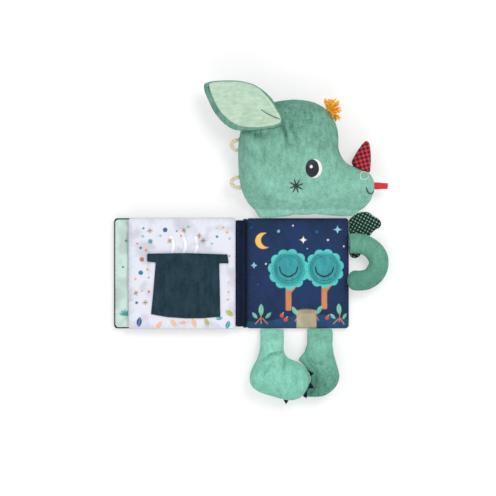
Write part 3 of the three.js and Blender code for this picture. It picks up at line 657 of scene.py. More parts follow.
def pageCoords(flat, width, height):  # a square grid, drawn out to the page's rounded outline
    u, v = flat[:, 0] * 2, flat[:, 1] * 2
    reach = np.maximum(np.maximum(np.abs(u), np.abs(v)), 1e-9)
    sx, sy = u / reach * width / 2, v / reach * height / 2
    r = page["corner"]
    qx = np.clip(sx, r - width / 2, width / 2 - r)
    qy = np.clip(sy, r - height / 2, height / 2 - r)
    long = np.maximum(np.hypot(sx - qx, sy - qy), 1e-9)
    bx, by = qx + r * (sx - qx) / long, qy + r * (sy - qy) / long
    return bx * reach, by * reach, np.arctan2(by, bx) * (width + height) / 4, reach > 0.99999


def pageCrease(x, y, puff, seed, calm):
    broad, fine = page["creaseMm"]
    crease = page["crease"] * (waves(x, y, broad, seed) + 0.5 * waves(x, y, fine, seed + 1))
    lineMm, partMm = page["crinkleMm"]
    for k in (2, 5):  # the film inside leaves narrow crinkles
        crinkle = np.exp(-(waves(x, y, lineMm, seed + k) / page["crinkleShare"]) ** 2)
        crease -= page["crinkle"] * crinkle * (0.5 + 0.5 * np.tanh(3 * waves(x, y, partMm, seed + k + 1)))
    crease *= puff
    free = np.ones(len(x))  # pages stay smooth beneath what is sewn on them
    for ax, ay, halfW, halfH in calm:
        away = np.maximum(np.abs(x - ax) - halfW, np.abs(y - ay) - halfH)
        free = np.minimum(free, np.clip(away / page["calmRun"], page["calmShare"], 1))
    crest, hollow = page["crest"], page["hollow"]
    return np.where(crease > 0, crest * np.tanh(crease / crest), hollow * np.tanh(crease / hollow)) * free, free


def joinSides(piece, atRim, sides):  # the two sides share the points of the rim
    faces = np.array([p.vertices[:] for p in piece.data.polygons])
    own = np.arange(len(atRim))
    lower = np.where(atRim, own, own + len(own))
    used = np.concatenate([own, lower[~atRim]])
    order = np.full(2 * len(own), -1)
    order[used] = np.arange(len(used))
    both = np.concatenate([order[faces], order[lower[faces]][:, ::-1]])
    grid, piece.data = piece.data, bpy.data.meshes.new(piece.name)
    piece.data.from_pydata((np.concatenate(sides) * mm)[used].tolist(), [], both.tolist())
    bpy.data.meshes.remove(grid)
    return faces, used


def padPage(name, nodes, body, paint, materials, flatUnder, seed, gridMm=page["gridMm"], rimMm=0.0, calm=(),
            paintUnder=None):
    low = np.min([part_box(n)[0] for n in nodes], axis=0) / mm
    high = np.max([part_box(n)[1] for n in nodes], axis=0) / mm
    width, height = high[0] - low[0], high[1] - low[1]
    cx, cy = (low[0] + high[0]) / 2, (low[1] + high[1]) / 2
    bpy.ops.object.select_all(action="DESELECT")
    bpy.ops.mesh.primitive_grid_add(x_subdivisions=int(width / gridMm), y_subdivisions=int(height / gridMm), size=1)
    piece = bpy.context.object
    piece.name = name

    x, y, around, atRim = pageCoords(points(piece), width, height)
    d = np.where(atRim, 0, np.maximum(pageDistance(x, y, width, height), 0))
    puff = roundly(d, page["run"])
    pucker = page["pucker"] * np.sin(2 * math.pi * around / page["puckerMm"] + 1.3 * np.sin(around / 9 + seed))
    pucker = pucker * np.exp(-d / page["puckerRun"]) * np.minimum(d / 1.5, 1)
    crease, free = pageCrease(x, y, puff, seed, calm)

    zSeam = (low[2] + high[2]) / 2
    lift = page["seam"] / 2 * puff ** 0.5
    rise = ((high[2] - low[2]) / 2 - page["seam"] / 2) * puff
    top = zSeam + lift + rise + pucker * free + crease
    under = zSeam - lift - rise
    if not flatUnder:
        under = under + pucker + np.clip(crease, *page["underCrease"])
    under = np.maximum(under, low[2] + 0.02)
    top[atRim] = under[atRim] = zSeam

    faces, used = joinSides(piece, atRim, [np.stack([x + cx, y + cy, z], axis=1) for z in (top, under)])
    mesh, outer = piece.data, len(materials) - 1
    for material in materials:
        mesh.materials.append(material)
    index = np.repeat([0, outer], len(faces))
    if rimMm:  # the darker outer cloth is turned over the edge
        index[:len(faces)][d[faces].mean(axis=1) < rimMm] = outer
    mesh.polygons.foreach_set("material_index", index)
    mesh.polygons.foreach_set("use_smooth", [True] * len(index))

    # painted shade: the print is darkened in the crease hollows and along the sewn rim
    paintedShade = 1 - page["creaseShade"] * np.clip(-crease / 1.1, 0, 1) - page["rimShade"] * np.exp(-d / page["rimShadeRun"])
    colour = np.ones((len(used), 4))
    colour[:, :3] = np.concatenate([side(x, y) * paintedShade[:, None] for side in (paint, paintUnder or paint)])[used]
    mesh.attributes.new("ink", "FLOAT_COLOR", "POINT").data.foreach_set("color", colour.reshape(-1))
    place(piece, body, nodes)


padPage("back_page", ["back_cover_panel", "night_page_panel"], "back_cover", paintNight,
        [navyPrint, darkCotton], True, 3, calm=[(-11.5, 5, 19, 19), (33.5, 5, 19, 19)])
padPage("leaf_page", ["leaf_back_panel", "leaf_front_panel"], "leaf", paintConfetti,
        [whitePrint], False, 8, calm=[(8.3, -15, 44, 41)], paintUnder=lambda x, y: paintConfetti(x, y, False))
padPage("front_page", ["front_cover_panel", "front_cover_lining"], "front_cover", paintCover,
        [mintPrint, darkCotton], True, 15, 0.9, 2.2)
print("pages ready")

# What lies inside the covers and at the clasp keeps its solid and gets its cloth
for material, nodes in (
    (fibre, ("back_cover_wadding", "leaf_wadding", "front_cover_wadding")),
    (crinkleFilm, ("back_cover_crinkle_film", "leaf_crinkle_film", "front_cover_crinkle_film")),
    (hookTape, ("cover_loop_patch", "hand_hook_patch")),
):
    for node in nodes:
        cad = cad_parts[node]
        cad.data.materials.clear()
        cad.data.materials.append(material)


# Places read from the photograph, and smooth lines through them
def pixels(*places):
    return [tuple(v / mm for v in fromPhoto(x, y)) for x, y in places]


def curve(places, count=40):
    fine = []
    pts = [np.array(p, float) for p in places]
    pts = [2 * pts[0] - pts[1]] + pts + [2 * pts[-1] - pts[-2]]
    spans = len(pts) - 3
    for k in range(count + 1):
        t = k / count * spans
        i = min(int(t), spans - 1)
        t -= i
        a, b, c, d = pts[i:i + 4]
        bend = (2 * a - 5 * b + 4 * c - d) * t * t + (3 * b - a - 3 * c + d) * t ** 3
        fine.append(0.5 * (2 * b + (c - a) * t + bend))
    return np.array(fine)


# Sewn ends: the rounded end of a remeshed limb is drawn out to the seam that holds it
def reachSeam(piece, seam, free):
    coords = points(piece)
    y = coords[:, 1]
    end = y.min() if seam < free else y.max()
    share = np.clip((y - free * mm) / (end - free * mm), 0, 1)
    coords[:, 1] = y + share * (seam * mm - end)
    setPoints(piece, coords)


def widthAt(across, along, where, reach=1.2 * mm):
    near = np.abs(along - where) < reach
    return (across[near].max() - across[near].min()) / 2 if near.sum() > 8 else 0


def squareEnd(piece, seam, free):  # the limb keeps its full width up to the seam
    coords = points(piece)
    x, y = coords[:, 0], coords[:, 1]
    full = widthAt(x, y, free * mm)
    middle = (x[np.abs(y - free * mm) < mm].max() + x[np.abs(y - free * mm) < mm].min()) / 2
    levels = np.linspace(free, seam, 24) * mm
    widths = np.array([max(widthAt(x, y, level, 0.9 * mm), full * 0.3) for level in levels])
    order = np.argsort(levels)
    width = np.interp(y, levels[order], widths[order])
    inside = (y - free * mm) * (seam - free) > 0
    coords[:, 0] = np.where(inside, middle + (x - middle) * np.minimum(full / width, 2.5), x)
    setPoints(piece, coords)


def swell(piece, outMm, only=None):
    normals = np.empty(len(piece.data.vertices) * 3)
    piece.data.vertex_normals.foreach_get("vector", normals)
    coords = points(piece)
    share = 1.0 if only is None else only(coords / mm)[:, None]
    setPoints(piece, coords + normals.reshape(-1, 3) * outMm * mm * share)


# Creases: soft grooves pressed into the upper side along lines read from the photograph
def crease(piece, lines, lowMm):
    coords = points(piece)
    drop = np.zeros(len(coords))
    for widthMm, depthMm, places in lines:
        line = curve(pixels(*places), 24) * mm
        apart = np.sqrt(((coords[:, None, :2] - line[None]) ** 2).sum(axis=2))
        along = np.clip(apart.argmin(axis=1) / (len(line) - 1), 0.08, 0.92)
        groove = np.exp(-(apart.min(axis=1) / (widthMm * mm)) ** 2)
        drop += depthMm * mm * groove * np.sin(math.pi * along) ** 0.5
    drop *= np.clip((coords[:, 2] / mm - lowMm) / 6, 0, 1)
    coords[:, 2] -= drop
    setPoints(piece, coords)
    # the groove's depth is kept for the plush, which paints shade into it
    attribute = piece.data.attributes.new("fold", "FLOAT", "POINT")
    attribute.data.foreach_set("value", np.clip(drop / (3 * mm), 0, 1))


# The lower foot is pressed against the upper one: its inner side is moved over to it, up to the height of its rim
press = {"gapMm": 0.15, "rimMm": 17.6, "rimRun": 3, "mostMm": 10, "fromX": 30, "runX": 8, "fromY": -99, "runY": 10}


def snug(piece, other):
    surface = surfaceOf(other)
    coords = points(piece)
    for k, (x, y, z) in enumerate(coords):
        hit = surface.ray_cast(Vector((x, y, z)), Vector((-1, 0, 0)), 0.03)[0]
        if hit is None:
            continue
        move = min(max((x - hit.x) / mm - press["gapMm"], 0), press["mostMm"])
        inner = min(max((press["fromX"] - x / mm) / press["runX"], 0), 1)
        low = min(max((press["fromY"] - y / mm) / press["runY"], 0), 1)
        rim = min(max((press["rimMm"] - z / mm) / press["rimRun"], 0), 1)
        coords[k, 0] = x - move * mm * inner * low * rim
    setPoints(piece, coords)


# Stuffed plush forms, each drawn out to the seam on the page's edge
seamY = 69.6
head = stuffed("plush_head", "head", seaPlush, None, 3.4, 3.0, 5, 8)
reachSeam(head, seamY, 80)
crease(head, [
    (2.6, 3.4, [(281, 123), (282.5, 131), (285.5, 140), (286, 149)]),
    (2.4, 2.4, [(289, 121), (290.5, 130), (295, 140)]),
    (4.6, 2.6, [(246, 132), (256, 137), (268, 137)]),
    (2.2, 2.2, [(336, 149), (343, 158), (353, 162)]),
    (2.6, 1.8, [(262, 214), (266, 206), (268, 198)]),
    (2.6, 1.6, [(300, 215), (303, 207), (304, 200)]),
    (2.4, 1.6, [(362, 196), (366, 199), (369, 203)]),
], 24)
leftLeg, rightLeg = (stuffed(f"plush_{node}", node, material, None, 2.6, 2.5, 2.0, 8)
                     for node, material in (("left_leg", litLegPlush), ("right_leg", shadedLegPlush)))
for leg in (leftLeg, rightLeg):
    reachSeam(leg, -seamY, -78)
    squareEnd(leg, -seamY, -86)
crease(leftLeg, [
    (1.9, 3.6, [(263, 360), (270, 354.5), (277, 352.8), (284.5, 352)]),
    (1.7, 3.2, [(285.5, 356), (283.8, 364), (282.5, 372)]),
    (1.6, 1.8, [(259, 331), (265, 334), (271, 333)]),
    (2.2, 2.0, [(262, 374), (268, 367), (272, 362)]),
], 12)
swell(rightLeg, 1.0, lambda p: np.clip((24 - p[:, 0]) / 8, 0, 1) * np.clip((-90 - p[:, 1]) / 8, 0, 1))
snug(rightLeg, leftLeg)
crease(rightLeg, [
    (2.0, 2.6, [(307, 357), (313, 362), (320, 363)]),
    (1.8, 1.8, [(309, 331), (315, 334), (322, 333)]),
], 12)
flapLeft, flapRight, _, strip = (
    stuffed(name, node, material, body, voxelMm, 0, 0, steps, 0)
    for name, node, slot, material, body, voxelMm, steps, fill in (
        ("velour_left_flap", "left_lift_flap", "teal_velour", tealVelour, "left_flap", 0.8, 4, 0.3),
        ("velour_right_flap", "right_lift_flap", "teal_velour", tealVelour, "right_flap", 0.8, 4, 0.3),
        ("spine_cloth", "spine_panel", "dark_cotton", darkCotton, "spine", 1.2, 2, 0.2),
        ("hinge_strip_cloth", "leaf_hinge_strip", "navy_cotton", navyCotton, "hinge_strip", 0.8, 2, 0.2)))
horn = stuffed("gingham_horn", "nose_horn", redGingham, "head", 1.3, 0, 0, 3, 1)
swell(horn, 1.5)

# Strips of cloth across the two outer folds
foldShape = {"columns": 12, "rows": 100, "halfY": 68.6, "z": 3.4, "arch": 0.7, "ripple": 0.12, "thick": 0.6,
             "bendMm": 0.9, "bendZ": 0.0035}


def foldCloth(name, xFrom, xTo):
    s = foldShape
    verts = []
    for j in range(s["rows"] + 1):
        y = -s["halfY"] + 2 * s["halfY"] * j / s["rows"]
        for i in range(s["columns"] + 1):
            t = i / s["columns"]
            z = s["z"] + s["arch"] * math.sin(math.pi * t) + s["ripple"] * math.sin(y / 3.1)
            verts.append(((xFrom + (xTo - xFrom) * t) * mm, y * mm, z * mm))
    piece = newPiece(name, verts, gridFaces(s["rows"], s["columns"]), darkCotton)
    applyModifier(piece, "SOLIDIFY", thickness=s["thick"] * mm, offset=0)
    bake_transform(piece)


foldCloth("page_fold_cloth", -63.9, -68.4)
foldCloth("cover_fold_cloth", -98.4, -103.0)
print("stuffed forms ready")

# Ear: a thin padded leaf of plush, cupped, with a satin lining that nearly fills its face
ear = {
    "shell": [(204, 85.6), (206.3, 82.9), (213.8, 81), (226.3, 80.4), (238.8, 80.8), (251.3, 83.5), (260, 88),
              (267.2, 93.8), (272.8, 100), (277.8, 108.8), (281.4, 116.9), (281.2, 123.6), (276, 127), (266, 129),
              (255, 130), (243, 130.6), (235, 129.8), (227.5, 126.3), (220, 119.4), (213.8, 111.3), (208.8, 101.3),
              (205, 92.5)],
    "lining": [(209.8, 83.4), (218, 81.9), (228, 81.6), (239, 82), (249.4, 84.2), (257.6, 88.1), (264.2, 93.8),
               (270.4, 100.6), (275.8, 109), (280, 116.6), (280.2, 122.4), (273.8, 125.5), (264.5, 127), (253.8, 127.6),
               (243, 126.8), (233.8, 123.6), (226.3, 118), (220, 111), (215, 102.5), (211.4, 93.8), (209.4, 87.6)],
    "thick": 5.0, "satinThick": 1.5, "tipZ": 34.0, "rootZ": 57.0, "tipX": -117.5, "rootX": -20.5, "dish": 1.75,
    "folds": [(1.9, 1.5, [(280.6, 120.4), (275, 117.4), (268, 113.8), (260, 109)]),
              (5.0, 1.7, [(262, 118), (254, 114), (246, 111), (238, 110)]),
              (2.4, 1.1, [(240, 124.5), (239, 120), (242, 115), (246, 112)])],
}


def edgeDistance(x, y, edge):
    nearest = np.full(len(x), 1e9)
    for (ax, ay), (bx, by) in zip(edge, np.roll(edge, -1, axis=0)):
        dx, dy = bx - ax, by - ay
        t = np.clip(((x - ax) * dx + (y - ay) * dy) / (dx * dx + dy * dy), 0, 1)
        nearest = np.minimum(nearest, np.hypot(x - ax - t * dx, y - ay - t * dy))
    return nearest


def closedCurve(places, count):
    ring = [np.array(p) for p in places]
    line = curve([ring[-1]] + ring + [ring[0], ring[1]], count * (len(ring) + 2) // len(ring))
    return line[count // len(ring):-count // len(ring)]


def cushion(name, edge, topAt, underAt, material, rings=30, centre=None):
    centre = edge.mean(axis=0) if centre is None else np.array(centre)
    shares = np.sin(np.linspace(math.pi / 2, 0.04, rings))
    verts, faces, count = [], [], len(edge)
    for heightAt in (topAt, underAt):
        for share in shares:
            ring = centre + (edge - centre) * share
            d = np.zeros(count) if share > 0.9999 else edgeDistance(ring[:, 0], ring[:, 1], edge)
            verts += np.column_stack([ring, heightAt(ring[:, 0], ring[:, 1], d)]).tolist()
    size = rings * count
    for start, way in ((0, 1), (size, -1)):
        last = start + size - count
        faces += [face[::way] for face in ringFaces(rings, count, start) + [tuple(range(last, last + count))]]
    faces += [(k, size + k, size + (k + 1) % count, (k + 1) % count) for k in range(count)]
    piece = newPiece(name, np.array(verts) * mm, faces, material)
    editMesh(piece, bpy.ops.mesh.normals_make_consistent, inside=False)
    return piece


def earMiddle(x):
    share = np.clip((x - ear["tipX"]) / (ear["rootX"] - ear["tipX"]), 0, 1)
    return ear["tipZ"] + (ear["rootZ"] - ear["tipZ"]) * share * share * (3 - 2 * share)


def raisedPixels(places):
    out = []
    for x, y in places:
        height = float(earMiddle(fromPhoto(x, y)[0] / mm)) * mm
        out.append(tuple(v / mm for v in fromPhotoAt(x, y, height)))
    return out


def earFolds(x, y):
    drop = np.zeros(len(x))
    for widthMm, depthMm, places in ear["folds"]:
        line = curve(raisedPixels(places), 30)
        apart = np.hypot(x[:, None] - line[None, :, 0], y[:, None] - line[None, :, 1])
        along = apart.argmin(axis=1) / (len(line) - 1)
        drop += depthMm * np.exp(-(apart.min(axis=1) / widthMm) ** 2) * np.clip(6 * (1 - along), 0.3, 1)
    return drop


shellEdge = closedCurve(raisedPixels(ear["shell"]), 150)
satinEdge = closedCurve(raisedPixels(ear["lining"]), 150)


def shellTop(x, y, d):
    return earMiddle(x) + ear["thick"] / 2 * roundly(d, 4) - ear["dish"] * roundly(np.maximum(d - 6, 0), 12)


def shellUnder(x, y, d):
    return earMiddle(x) - ear["thick"] / 2 * roundly(d, 4)


def shellBelow(x, y):
    return shellTop(x, y, edgeDistance(x, y, shellEdge))


def satinTop(x, y, d):
    quilt = 0.25 * np.sin(0.55 * y + 0.8 * np.sin(0.09 * x)) * roundly(d, 10)
    return shellBelow(x, y) + 0.3 + ear["satinThick"] * roundly(d, 2.5) + quilt - earFolds(x, y) * roundly(d, 5)


def satinUnder(x, y, d):
    return shellBelow(x, y) + 0.1


earShell = cushion("plush_ear", shellEdge, shellTop, shellUnder, seaPlush)
place(earShell, "ear", ["ear_shell"])
lining = cushion("satin_ear_lining", satinEdge, satinTop, satinUnder, mintSatin)
place(lining, "ear", ["ear_lining"])
print("ear ready")

# Pocket: a flat piece of velour sewn down at its sides and foot, its mouth standing open a little
hat = {
    "edge": [(147.2, 253.6), (187, 253.0), (227.6, 254.4), (228.6, 263.4), (219.3, 263.2), (219.8, 290), (220.4, 316.6),
             (204, 318.2), (186, 318.4), (168, 317.2), (151, 314.2), (153.6, 288), (155.8, 262.4), (147.2, 261.6)],
    "centre": (188, 261.6), "lowZ": 18.7, "thick": 1.9, "gape": 2.3, "mouthY": 25.0, "shutY": -8.0, "halfMm": 40.0,
    "cornerMm": 1.3, "stepMm": 1.4, "soft": 0.35, "softMm": 26, "pull": 0.22, "pullMm": 5.2, "seamMm": 1.6,
}


def cutEdges(corners, cornerMm, stepMm):  # straight cut edges with small round corners
    ring = []
    for k in range(len(corners)):
        start, end, after = (np.array(corners[(k + i) % len(corners)]) for i in range(3))
        there, onward = end - start, after - end
        cut = min(cornerMm, 0.3 * np.linalg.norm(there), 0.3 * np.linalg.norm(onward))
        first, last = start + there * cut / np.linalg.norm(there), end - there * cut / np.linalg.norm(there)
        steps = max(2, int(np.linalg.norm(last - first) / stepMm))
        ring += [first + (last - first) * t for t in np.linspace(0, 1, steps)]
        leave = end + onward * cut / np.linalg.norm(onward)
        ring += [(1 - t) ** 2 * last + 2 * t * (1 - t) * end + t * t * leave for t in (0.25, 0.5, 0.75)]
    return np.array(ring)


pocketMiddle = pixels(hat["centre"])[0]


def pocketLow(x, y, d):
    rise = np.clip((y - hat["shutY"]) / (hat["mouthY"] - hat["shutY"]), 0, 1)
    across = roundly(np.maximum(hat["halfMm"] - np.abs(x - pocketMiddle[0]), 0), hat["halfMm"])
    return hat["lowZ"] + hat["gape"] * rise * rise * (3 - 2 * rise) * across


def pocketTop(x, y, d):
    soft = hat["soft"] * waves(x, y, hat["softMm"], 5) * roundly(d, 8)
    atSeam = np.exp(-((d - hat["seamMm"]) / hat["seamMm"]) ** 2)
    pull = hat["pull"] * np.sin(2 * math.pi * (x + y) / hat["pullMm"]) * atSeam
    return pocketLow(x, y, d) + hat["thick"] * (0.5 + 0.5 * roundly(d, 2.2)) + soft + pull


pocketEdge = cutEdges(pixels(*hat["edge"]), hat["cornerMm"], hat["stepMm"])
pocket = cushion("velour_hat_pocket", pocketEdge, pocketTop, pocketLow, slateVelour, 34, pocketMiddle)
place(pocket, "leaf", ["hat_pocket"])
print("pocket ready")


# Tubes: yarn, cord and thread, swept along points in millimetres
def tubeMesh(path, radius, sides, taper=None):
    path = np.array(path, float)
    ahead = np.roll(path, -1, axis=0) - np.roll(path, 1, axis=0)
    ahead[0], ahead[-1] = path[1] - path[0], path[-1] - path[-2]
    verts = []
    side = np.cross(ahead[0], (0.13, 0.27, 0.95))
    for k, middle in enumerate(path):
        t = ahead[k] / np.linalg.norm(ahead[k])
        side = side - t * np.dot(side, t)
        side = side / np.linalg.norm(side)
        up = np.cross(t, side)
        r = radius * (taper[k] if taper is not None else 1)
        for j in range(sides):
            a = 2 * math.pi * j / sides
            verts.append(middle + r * (side * math.cos(a) + up * math.sin(a)))
    return verts, tubeFaces(len(path), sides)


def joined(parts):
    verts, faces = [], []
    for v, f in parts:
        start = len(verts)
        verts += v
        faces += [tuple(i + start for i in face) for face in f]
    return np.array(verts) * mm, faces


def alongPath(path, step):
    path = np.array(path, float)
    gaps = np.linalg.norm(np.diff(path, axis=0), axis=1)
    total = np.concatenate([[0], np.cumsum(gaps)])
    where = np.arange(0, total[-1], step)
    return np.stack([np.interp(where, total, path[:, i]) for i in range(path.shape[1])], axis=1)


# Embroidery and sewing, which lie on a surface and stand a little proud of it
needle = {"step": 0.25, "radius": 0.3, "lift": -0.05, "arch": 0.3, "lineStep": 0.6, "rings": (0.25, 0.5, 0.75, 0.92)}


def sewn(name, parts, material, body):
    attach(newPiece(name, *joined(parts), material), body)


def stitches(name, path, material, body, surface, lengthMm, gapMm):
    fine = alongPath(path, needle["step"])
    per, skip = int(lengthMm / needle["step"]), int(gapMm / needle["step"])
    parts = []
    for start in range(0, len(fine) - per, per + skip):
        run = fine[start:start + per + 1:2]
        arch = needle["lift"] + needle["arch"] * np.sin(np.linspace(0, math.pi, len(run)))
        line = [(x, y, heightOn(surface, x, y) + up) for (x, y), up in zip(run, arch)]
        parts.append(tubeMesh(line, needle["radius"], 5))
    sewn(name, parts, material, body)


def threadLine(name, path, material, body, surface, radius, lift):
    line = [(x, y, heightOn(surface, x, y) + lift) for x, y in alongPath(path, needle["lineStep"])]
    line = [point for point in line if point[2] > lift]  # past the form's edge there is nothing to lie on
    taper = 0.55 + 0.45 * np.sqrt(np.sin(np.linspace(0.08, math.pi - 0.08, len(line))))
    sewn(name, [tubeMesh(line, radius, 8, taper)], material, body)


def embroider(name, outline, material, body, surface, high):
    edge = np.array(outline)
    centre, count, rings = edge.mean(axis=0), len(edge), needle["rings"]
    verts = [(*centre, high)]
    for share, lift in [(r, high * (1 - 0.35 * r ** 4)) for r in rings] + [(1.0, high * 0.35), (1.03, -0.4)]:
        verts += [(*point, lift) for point in centre + (edge - centre) * share]
    faces = [(0, 1 + k, 1 + (k + 1) % count) for k in range(count)]
    faces += [(face[0], *face[:0:-1]) for face in ringFaces(len(rings) + 2, count, 1)]
    placed = np.array([(x, y, heightOn(surface, x, y) + lift) for x, y, lift in verts]) * mm
    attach(newPiece(name, placed, faces, material), body)


def ellipse(cx, cy, rx, ry, turn=0.0, count=48):
    out = []
    for k in range(count):
        a = 2 * math.pi * k / count
        u, v = rx * math.cos(a), ry * math.sin(a)
        out.append((cx + u * math.cos(turn) - v * math.sin(turn), cy + u * math.sin(turn) + v * math.cos(turn)))
    return out


# Arm: a stuffed tube bent round into a hook, its hand resting over the page's edge
armShape = {
    "line": [(349.9, 243.6), (356, 243.3), (362.5, 244.2), (370, 247.5), (376, 253), (379, 260), (378.2, 268),
             (373.6, 275.3), (366.5, 279.6), (360, 280.6), (355, 280.4)],
    "halfMm": 12.5, "rootZ": 13.8, "handZ": 20.6, "depthMm": (10.2, 9.0), "rings": 90, "sides": 40, "tipRings": 8,
    "handFrom": 0.5, "handRun": 0.42, "rootShare": 0.62, "rootRun": 0.14, "fold": 0.3, "folds": 27, "tipShare": 0.78,
}


def armVerts():
    s = armShape
    half, turns = s["halfMm"], [2 * math.pi * j / s["sides"] for j in range(s["sides"])]
    line = curve(pixels(*s["line"]), s["rings"])
    verts = []
    for k, middle in enumerate(line):
        t = k / (len(line) - 1)
        ahead = line[min(k + 1, len(line) - 1)] - line[max(k - 1, 0)]
        ahead = ahead / np.linalg.norm(ahead)
        hand = min(max((t - s["handFrom"]) / s["handRun"], 0), 1)
        hand = hand * hand * (3 - 2 * hand)
        z = s["rootZ"] + (s["handZ"] - s["rootZ"]) * hand
        depth = s["depthMm"][0] + (s["depthMm"][1] - s["depthMm"][0]) * hand
        depth *= s["rootShare"] + (1 - s["rootShare"]) * min(t / s["rootRun"], 1) ** 0.6
        for a in turns:  # the inner side of the bend is gathered in small folds
            inner = max(0, math.cos(a)) ** 3 * math.sin(math.pi * t) ** 0.5
            fold = s["fold"] * inner * math.sin(s["folds"] * t + 0.8 * math.sin(9 * t))
            across = (half - fold) * math.cos(a)
            verts.append((middle[0] + ahead[1] * across, middle[1] - ahead[0] * across, z + depth * math.sin(a)))
    ahead = line[-1] - line[-2]
    ahead = ahead / np.linalg.norm(ahead)
    for ring in range(1, s["tipRings"] + 1):  # the round end of the hand
        b = math.pi / 2 * ring / (s["tipRings"] + 0.2)
        x, y = line[-1] + ahead * half * s["tipShare"] * math.sin(b)
        for a in turns:
            across = half * math.cos(a) * math.cos(b)
            verts.append((x + ahead[1] * across, y - ahead[0] * across,
                          s["handZ"] + s["depthMm"][1] * math.sin(a) * math.cos(b)))
    return np.array(verts) * mm


armPoints = armVerts()
arm = newPiece("plush_arm", armPoints, tubeFaces(len(armPoints) // armShape["sides"], armShape["sides"]), armPlush)
editMesh(arm, bpy.ops.mesh.normals_make_consistent, inside=False)
place(arm, None, ["arm"])

# Scarf end: a leaf of checked cotton, gathered into the page's seam and spread in soft pleats
scarfShape = {
    "edge": [(350.2, 219.5), (354, 216), (358.5, 213), (364, 211.6), (369.5, 212), (374.5, 215.4), (380, 218.8),
             (382.6, 223), (381, 227), (375.5, 230.5), (371, 236), (366, 246), (360.5, 256.3), (354, 258),
             (350.4, 254)],
    "gather": [(350.2, 221), (350.2, 247)], "pleats": 7, "rise": 1.5, "steps": (150, 30), "thick": 0.5,
    "freeY": 50, "freeRun": 6, "lowShare": 0.35, "floorZ": 0.7, "arch": 1.6,
}


def scarfVerts():
    s = scarfShape
    around, deep = s["steps"]
    edge = curve(pixels(*s["edge"]), around)
    top, bottom = (np.array(p) for p in pixels(*s["gather"]))
    verts = []
    for i, rim in enumerate(edge):
        start = top + (bottom - top) * i / around
        for j in range(deep + 1):
            t = j / deep
            x, y = start + (rim - start) * t
            free = min(max((y - s["freeY"]) / s["freeRun"], 0), 1)
            low = s["lowShare"]
            high = s["rise"] * (low + (1 - low) * free) * (low + (1 - low) * t)
            wave = 0.5 + 0.5 * math.sin(2 * math.pi * s["pleats"] * i / around + 1.1 * t)
            verts.append((x, y, s["floorZ"] + high * wave + s["arch"] * free * t * (1 - t)))
    return np.array(verts) * mm


scarf = newPiece("gingham_scarf_end", scarfVerts(), gridFaces(*scarfShape["steps"]), greenGingham)
applyModifier(scarf, "SOLIDIFY", thickness=scarfShape["thick"] * mm, offset=1)
place(scarf, "back_cover", ["scarf_end"])

# The face: an oval eye with a pale crescent, a nostril ring, a smile and a small stitched wheel on the cheek
headSurface = surfaceOf(head)
for name, at, size, material, high, count in (
    ("embroidered_eye_white", (313.1, 170.2), (9.2, 11.4), whiteThread, 0.5, 48),
    ("embroidered_pupil", (311, 170), (8.3, 10.8), navyThread, 0.95, 48),
    ("embroidered_glint", (309.8, 168.4), (2.0, 2.2), whiteThread, 1.35, 20),
):
    embroider(name, ellipse(*pixels(at)[0], *size, 0, count), material, "head", headSurface, high)
nostril = ellipse(*pixels((362.8, 176.5))[0], 5.6, 5.0, 0.4, 40)
threadLine("nostril_ring", nostril + nostril[:1], mintThread, "head", headSurface, 0.7, 0.3)
smile = curve(pixels((364.6, 188.5), (367.2, 193), (370.6, 193.9), (373.6, 190.9)))
threadLine("stitched_smile", smile, tealThread, "head", headSurface, 0.95, 0.3)
wheel = {"at": (295.4, 187), "reach": 8.6, "spokes": 4, "turn": 0.3, "steps": 15, "radius": 0.95, "lift": 0.35}
kx, ky = pixels(wheel["at"])[0]
spokes = []
for k in range(wheel["spokes"]):
    a = math.pi * k / wheel["spokes"] + wheel["turn"]
    along = np.linspace(-wheel["reach"], wheel["reach"], wheel["steps"])
    flat = [(kx + r * math.cos(a), ky + r * math.sin(a)) for r in along]
    spoke = [(x, y, heightOn(headSurface, x, y) + wheel["lift"]) for x, y in flat]
    taper = 0.4 + 0.6 * np.sin(np.linspace(0.2, math.pi - 0.2, wheel["steps"]))
    spokes.append(tubeMesh(spoke, wheel["radius"], 8, taper))
sewn("stitched_cheek_wheel", spokes, tealThread, "head")
dart = curve(raisedPixels([(261, 109.6), (267, 113.6), (274, 117), (280.2, 119.6)]))
threadLine("ear_dart", dart, tealThread, "ear", surfaceOf(lining), 0.5, 0.1)
print("face ready")

# Ribbon loop at the mouth, folded back on itself and lying flat
ribbon = {"length": 20.5, "width": 7.6, "thick": 0.5, "start": (91.5, 109.6, 21.0), "sway": 1.6, "gape": 2.1,
          "steps": (40, 6)}


def ribbonVerts():
    x, y, z = ribbon["start"]
    steps, across = ribbon["steps"]
    verts = []
    for k in range(steps + 1):
        t = k / steps
        out = math.sin(math.pi * t) ** 0.8 * ribbon["length"]
        twist = 0.32 * math.sin(math.pi * t * 0.9) + 0.1
        shift = 1.3 * (0.5 - t) * math.sin(math.pi * min(1, out / 14)) - ribbon["sway"] * t * (1 - t)
        high = ribbon["gape"] * math.cos(math.pi * t) + 0.25 * math.sin(out / 2.2)
        for j in range(across + 1):
            w = (j / across - 0.5) * ribbon["width"]
            verts.append((x + out, y + w * math.cos(twist) + shift, z + high + w * math.sin(twist)))
    return np.array(verts) * mm


ribbonLoop = newPiece("folded_ribbon_loop", ribbonVerts(), gridFaces(*ribbon["steps"]), redRibbonCloth)
applyModifier(ribbonLoop, "SOLIDIFY", thickness=ribbon["thick"] * mm, offset=0)
place(ribbonLoop, "head", ["mouth_ribbon_loop"])

